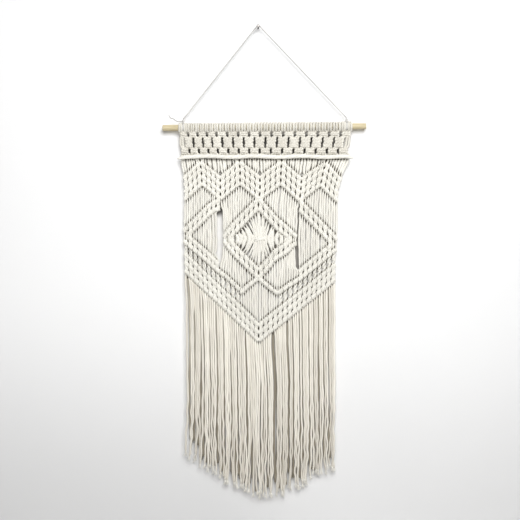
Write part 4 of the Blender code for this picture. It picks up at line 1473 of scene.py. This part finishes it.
    def build(self, finishes: Finishes) -> None:
        """Makes the strands, the bars and the star's knot.

        Args:
            finishes: The materials.
        """
        self.strands(finishes)
        upper = [row for row in ROWS if row.name.startswith(("under", "zigzag", "left_arm", "right_arm"))]
        lower = [row for row in ROWS if row not in upper and row.name != "vee_3"]
        for name, tubes, finish in (
            ("hitches_upper", self.bars(upper, Seed.HITCHES_UPPER), finishes.hitch),
            ("hitches_lower", self.bars(lower, Seed.HITCHES_LOWER), finishes.hitch),
            # painted shade: the backs' finish is near black towards the front
            ("hitch_backs", self.backs(upper + lower), finishes.backs),
            ("star_knot", self.star(), finishes.hitch),
        ):
            place(tubes.build(name, finish), Slot.CORD, "panel")

    def strands(self, finishes: Finishes) -> None:
        """Makes the strands between the cross cord and the V's last row.

        Args:
            finishes: The materials.
        """
        draw = np.random.default_rng(Seed.STRANDS.value)
        drift, deep = Drift(Seed.STRANDS_ASIDE, (0.045, 0.083, 0.021)), Drift(Seed.STRANDS_DEEP, (0.06, 0.11))
        tubes = Tubes()
        for strand in range(STRANDS):
            end = float(ROW["vee_3"].drop(strand + 0.5))
            drop = np.linspace(self.top_drop, end, int((end - self.top_drop) / self.step))
            path, radius, nook = self.strand(strand, drop, drift, deep)
            tubes.add(path, radius, tones=draw.uniform(), up=RIGHTWARD, nooks=nook)
        place(tubes.build("panel_strands", finishes.cord), Slot.CORD, "panel")

    def strand(self, strand: int, drop: np.ndarray, drift: Drift, deep: Drift) -> tuple:
        """Works out one strand's path.

        Args:
            strand: The strand's number.
            drop: The drops to read.
            drift: The sideways unevenness.
            deep: The unevenness in depth.

        Returns:
            The path, its radii and its painted shade in the knots.
        """
        at, side = strand + 0.5, even(strand)
        held = sorted((float(row.drop(at)), row.half * MM, row.steep(at)) for row in ROWS if row.holds(at))
        rows, halves, steep = np.transpose(held)
        near = np.min(np.abs(drop[:, None] - rows) * steep - halves, axis=1)
        free = ease(*self.free_from, near)
        pitch = CHART.x(at + 1, drop) - CHART.x(at - 1, drop)
        full = np.clip(np.where(drop < self.fill_drop, *self.fills) * pitch, *self.free_radius)
        radius = self.tight_radius + (full - self.tight_radius) * free
        # painted shade where the strand dives into a row of hitches
        nook = self.painted_knot_shade * (1 - ease(*self.dark_to, near))
        x, y = CHART.lay(at, drop), np.full_like(drop, SHEET_Y)
        for upper, lower in zip(rows, rows[1:]):
            if lower - upper < self.close_rows:
                middle = (upper + lower) / 2
                between = hump(middle, middle, (lower - upper) / 2, drop) ** 2
                within = (drop > upper) & (drop < lower)
                x = x + side * self.pinch * between
                y = y - self.forward * between**0.25
                radius = np.where(within, self.pair_radius - self.thinner * self.pinch * between, radius)
                free, nook = np.where(within, 0.0, free), np.where(within, 0.0, nook)
        aside, depth = self.sway
        lift, length = self.lifted
        x = x + aside * free * drift.at(strand, drop)
        y = y + free * (self.layers * side + depth * deep.at(strand, drop))
        y = y - lift * (1 - ease(0, length, near)) * (free > 0)
        first, last, parting, *run = self.crowded
        if first <= strand < last:
            y = y + parting * MM * side * band(*run, drop)
        x = self.parted(at, drop, x)
        x, y = self.twisted(strand, drop, x, y)
        x, y = self.gathered(strand, drop, x, y)
        return spots(x, y, drop), self.spread(strand, drop, radius), nook

    def parted(self, at: float, drop: np.ndarray, x: np.ndarray) -> np.ndarray:
        """Opens the small gaps at the zigzag's corners, and the slits between some free strands.

        Args:
            at: The strand's middle, as a strand boundary.
            drop: Its drops.
            x: Its path sideways.

        Returns:
            The path sideways.
        """
        for corners, row, below, half, soft, reach, fade in self.corners:
            for corner in corners:
                away = at - corner
                if abs(away) < reach:
                    level = float(ROW[row].drop(corner)) / MM + below
                    by = math.copysign(half * MM, away) / abs(away * 2) ** fade
                    x = x + by * band(level, level, soft, drop)
        for corner, first, last, wide in self.slits:
            by = drawn(at - corner, *self.slit_reach) * (self.slit_share if corner % 1 else 1.0)
            x = x + by * wide * MM / 2 * band(first, last, self.slit_soft, drop)
        return x

    def twisted(self, strand: int, drop: np.ndarray, x: np.ndarray, y: np.ndarray) -> tuple:
        """Winds a pair of strands round each other between the long diagonals and the V.

        Args:
            strand: The strand's number.
            drop: Its drops.
            x: Its path sideways.
            y: Its path in depth.

        Returns:
            The path sideways and in depth.
        """
        if strand in range(*self.untwisted):
            return x, y
        pair, side = 2 * (strand // 2) + 1, even(strand)
        above = "left_diagonal_2" if strand < STRANDS / 2 else "right_diagonal_2"
        lower = float(ROW["vee_1"].drop(pair)) - self.row_margin[0]
        upper = float(ROW[above].drop(pair)) + self.row_margin[0]
        (more, one), (shift, other) = self.twist_uneven
        turns = max(1, round((lower - upper) / self.twist_pitch + more * math.sin(pair * one)))
        share = np.clip((drop - upper) / (lower - upper), 0, 1)
        share = share + shift * math.sin(pair * other) * np.sin(2 * math.pi * share) / (1 + turns)
        phase = 2 * math.pi * turns * share
        inset, soft = self.twist_ends
        inside = hump(upper + inset, lower - inset, soft, drop)
        aside, depth = self.twist_swing
        swing = -side * aside * np.tanh(self.twist_quick * np.cos(phase)) / math.tanh(self.twist_quick)
        return x + inside * (CHART.lay(pair, drop) + swing - x), y + inside * side * depth * np.sin(phase)

    def gathered(self, strand: int, drop: np.ndarray, x: np.ndarray, y: np.ndarray) -> tuple:
        """Draws the strands in the diamond towards its middle.

        Args:
            strand: The strand's number.
            drop: Its drops.
            x: Its path sideways.
            y: Its path in depth.

        Returns:
            The path sideways and in depth.
        """
        pull = self.pull(strand, drop)
        if pull is None:
            return x, y
        x = x + pull * ((self.waist(strand) + self.waist(strand + 1)) / 2 - x)
        for boundary, wide, low, high in self.star_slits:
            if boundary in (strand, strand + 1):
                away = 1 if boundary == strand else -1
                x = x + away * wide * MM / 2 * hump(low, high, self.star_soft, pull) * (pull > 0)
        inner = self.core(strand)
        parting, out = self.star_depth
        return x, y - pull * (even(strand) * parting * (inner > 0) + out * inner)

    def core(self, strand: int) -> float:
        """Is 1 at the star's middle and falls to 0 beside it."""
        return max(0.0, 1 - abs(strand + 0.5 - STRANDS / 2) / self.star_middle)

    def waist(self, boundary: int) -> float:
        """Where a strand boundary runs at the star's level."""
        return float(np.interp(boundary, *zip(*self.star_seats))) * MM

    def pull(self, strand: int, drop: np.ndarray) -> Optional[np.ndarray]:
        """How far a strand is drawn towards its place at the star's level.

        Args:
            strand: The strand's number.
            drop: Its drops.

        Returns:
            The share, or None for a strand outside the star.
        """
        if strand not in range(*self.star_strands):
            return None
        top = float(ROW["diamond_top_2"].drop(strand + 0.5)) + self.row_margin[1]
        foot = float(ROW["diamond_foot_1"].drop(strand + 0.5)) - self.row_margin[1]
        least, more = self.star_hold
        hold = min(least + more * self.core(strand), (foot - top) / 3)
        rise = np.clip((drop - top) / max(self.star_drop - hold - top, 1 * MM), 0, 1)
        fall = np.clip((foot - drop) / max(foot - self.star_drop - hold, 1 * MM), 0, 1)
        share = np.minimum(rise, fall)
        return share * (1 + self.star_bow * (1 - share)) if strand in range(*self.star_core) else ease(0, 1, share)

    def spread(self, strand: int, drop: np.ndarray, radius: np.ndarray) -> np.ndarray:
        """Fattens the strands that spread round the star.

        Args:
            strand: The strand's number.
            drop: Its drops.
            radius: Its radii.

        Returns:
            The new radii.
        """
        pull = self.pull(strand, drop)
        if pull is None:
            return radius
        full = float(np.clip(self.star_fill * (self.waist(strand + 1) - self.waist(strand)), *self.star_radius))
        return radius + (full - radius) * ease(*self.star_swell, pull)

    def bars(self, rows: Sequence[Row], seed: Seed) -> Tubes:
        """Makes rows of hitches with their holding cords.

        Args:
            rows: The rows.
            seed: Fixes the unevenness.

        Returns:
            The tubes.
        """
        draw = np.random.default_rng(seed.value)
        tubes = Tubes()
        for row in rows:
            self.hitches(tubes, row, draw)
            self.holding_cord(tubes, row, draw)
        return tubes

    def backs(self, rows: Sequence[Row]) -> Tubes:
        """Makes the short runs in which each hitch crosses its row at the back of the cloth.

        Args:
            rows: The rows.

        Returns:
            The tubes, which show through the small gaps beside the rows, with painted shade on their front.
        """
        tubes = Tubes()
        share = np.linspace(-1, 1, self.back_samples)
        y = self.back_y + self.back_bow * np.cos(share * math.pi / 2)
        for row in rows:
            at = np.arange(math.ceil(row.first + 0.5), math.floor(row.last - 0.5) + 1, dtype=float)
            reach = self.back_reach * (self.thin_reach if row.thin() else 1.0)
            drop = row.drop(at)[:, None] + share * reach / np.asarray([[row.steep(place)] for place in at])
            path = spots(CHART.lay(at[:, None], drop), y, drop)
            tubes.add(path, self.back_radius, sides=6, up=RIGHTWARD)
        return tubes

    def hitches(self, tubes: Tubes, row: Row, draw: np.random.Generator) -> None:
        """Adds the turns of one row, two for each strand.

        Args:
            tubes: Where they go.
            row: The row.
            draw: The source of unevenness.
        """
        at = np.asarray([strand + share for strand in range(STRANDS) for share in self.hitch_places[strand % 2]])
        at = at[(at >= row.first) & (at <= row.last)]
        count = len(at)
        ends = []
        for beside in (at - self.slope_run, at + self.slope_run):
            beside = np.clip(beside, row.first, row.last - 0.01)
            ends.append(spots(CHART.lay(beside, row.drop(beside)), 0.0, row.drop(beside)))
        along = ends[1] - ends[0]
        along /= np.linalg.norm(along, axis=1, keepdims=True)
        across = np.stack([-along[:, 2], np.zeros(count), along[:, 0]], axis=-1)
        proud = self.hitch_proud * (at.astype(int) % 2) + draw.uniform(-self.uneven, self.uneven, count) * MM
        lean = self.hitch_lean * along[:, 2] / along[:, 0]
        lean = lean + draw.uniform(-self.uneven_lean, self.uneven_lean, count)
        wide = row.half * MM - self.hitch_radius + draw.uniform(-self.uneven, self.uneven, count) * MM
        deep = self.hitch_deep * (self.thin_share if row.thin() else 1.0) + proud
        angle = 2 * math.pi * np.arange(self.hitch_steps) / self.hitch_steps
        turn_up, turn_out = wide[:, None] * np.cos(angle), -deep[:, None] * np.sin(angle)
        paths = spots(CHART.lay(at, row.drop(at)), BAR_Y, row.drop(at))[:, None] + turn_out[..., None] * WALLWARD
        paths = paths + turn_up[..., None] * (across + lean[:, None] * along)[:, None]
        radii = (self.hitch_radius + draw.uniform(-self.uneven_radius, self.uneven_radius, count) * MM)[:, None]
        tones = draw.uniform(0, 1, count)
        tubes.add(paths, radii, sides=self.hitch_sides, tones=tones, closed=True, up=along)

    def holding_cord(self, tubes: Tubes, row: Row, draw: np.random.Generator) -> None:
        """Adds the cord that a row's hitches are tied on.

        Args:
            tubes: Where it goes.
            row: The row.
            draw: The source of unevenness.
        """
        inset = self.holding_inset
        at = np.linspace(row.first + inset, row.last - inset, int((row.last - row.first) * self.holding_points) + 2)
        path = spots(CHART.lay(at, row.drop(at)), BAR_Y, row.drop(at))
        tubes.add(path, self.holding_radius, sides=6, tones=draw.uniform(), up=WALLWARD)

    def star(self) -> Tubes:
        """Makes the short wrap that holds the star's strands together.

        Returns:
            The tubes.
        """
        tubes = Tubes()
        left, right = (self.waist(boundary) for boundary in self.wrap_strands)
        past, depth, slant = self.wrap_size
        angle = 2 * math.pi * np.arange(self.wrap_samples) / self.wrap_samples
        x = (left + right) / 2 + ((right - left) / 2 + past) * np.cos(angle)
        y = SHEET_Y - np.sign(np.sin(angle)) * np.abs(np.sin(angle)) ** self.wrap_square * depth
        for number in range(self.wrap_turns):
            drop = self.star_drop - (number - 0.5) * self.wrap_gap - slant * np.cos(angle + number)
            tubes.add(spots(x, y, drop), self.wrap_radius, tones=0.3, closed=True, up=UPWARD)
        return tubes


# ---------------------------------------------------------------- fringe


@dataclass
class Fringe:
    """The V's last row of hitches and the loose strands under it, with their frayed ends."""

    radius: float = 2.05 * MM
    uneven: float = 0.12  # of the radius, from strand to strand
    uneven_pace: tuple = (5.1, 1.7)  # how it changes from one to the next
    narrower: float = 0.10  # how much narrower strands get over these drops
    narrow_over: tuple = (680 * MM, 860 * MM)
    tip_narrower: float = 0.4
    tip: float = 6 * MM
    root_radius: float = 1.3 * MM
    root: tuple = (6 * MM, 11 * MM)  # how far below the row's middle they widen
    painted_knot_shade: float = 0.5
    dark_to: tuple = (4 * MM, 8 * MM)  # how far below the row's middle its painted shade ends
    # painted shade low on the fringe, and the drops over which it grows
    painted_end_shade: float = 0.6
    dark_from: tuple = (680 * MM, 900 * MM)
    layers: tuple = (0.5 * MM, 1.2 * MM)  # how far every second strand lies behind, all over and beside gaps
    step: float = 3.6 * MM
    ends: tuple = (
        # strand boundary, the drop at which strands end there, in millimetres
        (0, 835.6), (10, 874.9), (18, 900.4), (30, 924.0), (40, 918.1), (51, 896.5), (57, 878.8), (64, 869.0),
    )
    end_jitter: float = 7.0 * MM
    shorter: float = 7.5 * MM  # how much shorter they are cut, for the hairs at their ends
    splay: float = 3.6 * MM
    outward: float = 3.0 * MM  # how far the ends at the left edge stand out
    outward_strands: int = 14
    loose_end: float = 55 * MM
    wave_full: tuple = (0.10, 0.34)  # how far below the knots the upper waves are full, and the lower ones
    clump: int = 3  # how many strands sway together
    clump_sway: tuple = (0.7, 0.9)  # how far they do so near the knots and further down, in millimetres
    wave: tuple = (0.25, 0.95)  # the same for the short waves of each strand
    own_sway: tuple = (0.0, 0.8)  # for its own slow ones
    deep_sway: tuple = (0.6, 0.9)  # and for those in depth
    gaps: tuple = (
        # strand boundary, width, drops from and to, in millimetres
        (1.0, 4.6, 490, 960), (3.0, 3.2, 555, 960), (5.7, 2.8, 530, 960), (7.3, 2.8, 530, 960), (10.4, 1.8, 600, 960),
        (13.5, 3.3, 552, 960), (15.7, 2.8, 570, 960), (19.2, 2.0, 640, 960), (22.0, 2.0, 610, 960),
        (26.0, 3.3, 600, 812), (28.3, 3.8, 812, 920), (31.6, 1.8, 690, 960), (34.6, 2.0, 650, 960),
        (38.5, 7.4, 596, 950), (41.5, 1.8, 640, 960), (44.3, 4.2, 575, 960), (46.0, 2.4, 575, 960),
        (48.6, 2.4, 560, 960), (50.5, 2.4, 555, 960), (52.7, 2.8, 550, 960), (54.7, 2.4, 545, 960),
        (57.2, 3.3, 531, 960), (59.3, 2.8, 520, 960), (61.1, 2.8, 515, 960),
    )
    gap_reach: tuple = (2.2, 6)  # how many strands give way beside it, and from which on none does
    gap_late: float = 20.0  # how far below its upper drop it is full
    gap_soft: float = 35.0
    wide_gap: float = 4.0  # narrower gaps open to this share at first, and fully over these drops
    gap_first: float = 0.7
    gap_full: tuple = (640 * MM, 800 * MM)
    crowding: float = 5.0  # the width of gap beside which strands lie fully behind each other
    tuft_hairs: int = 22
    hair_length: tuple = (4.5, 12.5)  # in millimetres
    hair_radius: float = 0.38 * MM
    hair_root: tuple = (1.2 * MM, 2.5 * MM)  # how far off the strand's axis, and before its end, they start
    hair_spread: tuple = (0.2, 1.0)
    hair_bend: float = 0.42
    hair_taper: float = 0.6
    hair_points: int = 5
    inner_strands: int = 62
    inner_radius: float = 1.9 * MM
    inner_step: float = 9 * MM
    inner_lower: float = 2 * MM
    inner_shorter: tuple = (8, 34)  # in millimetres, against the strands in front
    inner_loose: tuple = (0.02, 0.2)  # how far below their roots they get free
    inner_sway: tuple = (1.2 * MM, 0.5 * MM)
    inner_waves: tuple = (7, 5)  # spread the waves over the strands, aside and in depth
    # the drops over which painted shade darkens the layer behind
    inner_painted_shade: tuple = (600 * MM, 860 * MM)
    inner_y: float = -7.2 * MM

    def build(self, finishes: Finishes) -> None:
        """Makes the backing row, the strands in front and behind, and the tufts.

        Args:
            finishes: The materials.
        """
        draw = np.random.default_rng(Seed.FRINGE.value)
        sway, wave = Drift(Seed.FRINGE_SWAY, (0.30, 0.19)), Drift(Seed.FRINGE_WAVE, (0.056, 0.034))
        deep = Drift(Seed.FRINGE_DEEP, (0.17, 0.09))
        strands, tufts, behind = Tubes(), Tubes(), Tubes()
        for strand in range(STRANDS):
            path, radius, nook = self.strand(strand, sway, wave, deep, draw)
            tone = draw.uniform()
            strands.add(path, radius, tones=tone, up=RIGHTWARD, nooks=nook)
            self.tuft(tufts, path[-1], path[-1] - path[-4], tone, draw)
        for number in range(self.inner_strands):
            self.inner(behind, number + 1.0, sway, draw)
        panel, row = Panel(), [ROW["vee_3"]]
        for name, tubes, finish, slot in (
            ("fringe_hitches", panel.bars(row, Seed.FRINGE_HITCHES), finishes.hitch, Slot.CORD),
            ("fringe_strands", strands, finishes.fringe, Slot.FRINGE),
            ("fringe_tufts", tufts, finishes.tips, Slot.FRINGE),
            ("fringe_backs", panel.backs(row), finishes.backs, Slot.CORD),
            ("fringe_inner", behind, finishes.inner, Slot.FRINGE),
        ):
            place(tubes.build(name, finish), slot, "fringe")

    def end(self, at: float) -> float:
        """The drop at which the strands end, before their unevenness."""
        return float(np.interp(at, *zip(*self.ends))) * MM

    def strand(self, strand: int, sway: Drift, wave: Drift, deep: Drift, draw: np.random.Generator) -> tuple:
        """Works out one loose strand.

        Args:
            strand: The strand's number.
            sway: The slow sideways waves.
            wave: The short sideways waves.
            deep: The waves in depth.
            draw: The source of the ends' unevenness.

        Returns:
            The path, its radii and its painted shade near the knots and low down.
        """
        at = strand + 0.5
        root = float(ROW["vee_3"].drop(at))
        end = self.end(at) + draw.uniform(-1, 1) * self.end_jitter - self.shorter
        drop = np.linspace(root, end, int((end - root) / self.step))
        near = drop - root
        down, lower = ease(0.0, self.wave_full[0], near), ease(*self.wave_full, near)

        def grown(sizes: tuple) -> np.ndarray:
            """How far waves reach, from their sizes near the knots and further down in millimetres."""
            return (sizes[0] * down + sizes[1] * lower) * MM

        x, crowd = CHART.x(at, drop), np.zeros_like(drop)
        for corner, wide, first, last in self.gaps:
            upper = first + self.gap_late
            here = drawn(at - corner, *self.gap_reach) * band(upper, last, self.gap_soft, drop)
            if wide < self.wide_gap:
                here = here * (self.gap_first + (1 - self.gap_first) * ease(*self.gap_full, drop))
            x = x + here * wide * MM / 2
            crowd = np.maximum(crowd, np.abs(here) * wide / self.crowding)
        x = x + grown(self.clump_sway) * sway.at(strand // self.clump, drop) + grown(self.wave) * wave.at(strand, drop)
        x = x + grown(self.own_sway) * sway.at(strand, drop)
        aside = self.splay * draw.uniform(-1, 1) - self.outward * max(0.0, 1 - at / self.outward_strands)
        x = x + aside * ease(end - self.loose_end, end, drop)
        y = SHEET_Y + grown(self.deep_sway) * deep.at(strand, drop)
        y = y - even(strand) * (self.layers[0] * down + self.layers[1] * np.clip(crowd, 0, 1))
        quick, slow = self.uneven_pace
        full = self.radius * (1 + self.uneven * math.sin(strand * quick) * math.sin(strand * slow + 1))
        full = full * (1 - self.narrower * ease(*self.narrow_over, drop))
        full = full * (1 - self.tip_narrower * ease(end - self.tip, end, drop))
        radius = self.root_radius + (full - self.root_radius) * ease(*self.root, near)
        # painted shade near the knots and low on the fringe
        shade = self.painted_knot_shade * (1 - ease(*self.dark_to, near)) + self.painted_end_shade * ease(*self.dark_from, drop)
        return spots(x, y, drop), radius, shade

    def inner(self, tubes: Tubes, at: float, sway: Drift, draw: np.random.Generator) -> None:
        """Adds a strand of the layer behind, which shows in the gaps, with painted shade lower down.

        Args:
            tubes: Where it goes.
            at: The strand boundary at which it hangs.
            sway: The slow sideways waves.
            draw: The source of unevenness.
        """
        root = float(ROW["vee_3"].drop(at)) + self.inner_lower
        end = self.end(at) - draw.uniform(*self.inner_shorter) * MM
        drop = np.linspace(root, end, int((end - root) / self.inner_step))
        loose = ease(*self.inner_loose, drop - root)
        (aside, depth), (one, other) = self.inner_sway, self.inner_waves
        x = CHART.x(at, drop) + aside * loose * sway.at(int(at * one) % STRANDS, drop)
        y = self.inner_y + depth * loose * sway.at(int(at * other) % STRANDS, drop)
        # painted shade lower down
        dark = ease(*self.inner_painted_shade, drop)
        tubes.add(spots(x, y, drop), self.inner_radius, sides=6, tones=draw.uniform(), up=RIGHTWARD, nooks=dark)

    def tuft(self, tubes: Tubes, end: np.ndarray, along: np.ndarray, tone: float, draw: np.random.Generator) -> None:
        """Adds the loosened hairs at a strand's cut end.

        Args:
            tubes: Where they go.
            end: The strand's end.
            along: The direction in which it ends.
            tone: The strand's shade.
            draw: The source of unevenness.
        """
        along = along / np.linalg.norm(along)
        count = self.tuft_hairs
        turn = draw.uniform(0, 2 * math.pi, count)
        spread = draw.uniform(*self.hair_spread, count)[:, None]
        length = draw.uniform(*self.hair_length, count)[:, None] * MM
        out = spread * np.stack([np.cos(turn), np.sin(turn), np.zeros(count)], axis=-1)
        share = np.linspace(0, 1, self.hair_points)[:, None]
        first = (end + out * self.hair_root[0] - along * self.hair_root[1])[:, None]
        paths = first + (along * length)[:, None] * share + (self.hair_bend * out * length)[:, None] * share**2
        tubes.add(paths, self.hair_radius * (1 - self.hair_taper * share[:, 0]), sides=4, tones=tone)


# ---------------------------------------------------------------- everything


def write_sizes() -> None:
    """Logs that the build has finished."""
    LOG.info("sizes written")


def main() -> None:
    """Builds the studio and dresses the hanging, piece by piece."""
    logging.basicConfig(level=logging.INFO, format="%(message)s")
    Studio().build()
    finishes = Finishes()
    Hanger().build(finishes)
    Hardware().dress(finishes)
    Heading().build(finishes)
    CrossCord().build(finishes)
    Panel().build(finishes)
    Fringe().build(finishes)
    write_sizes()


if __name__ == "__main__":
    main()
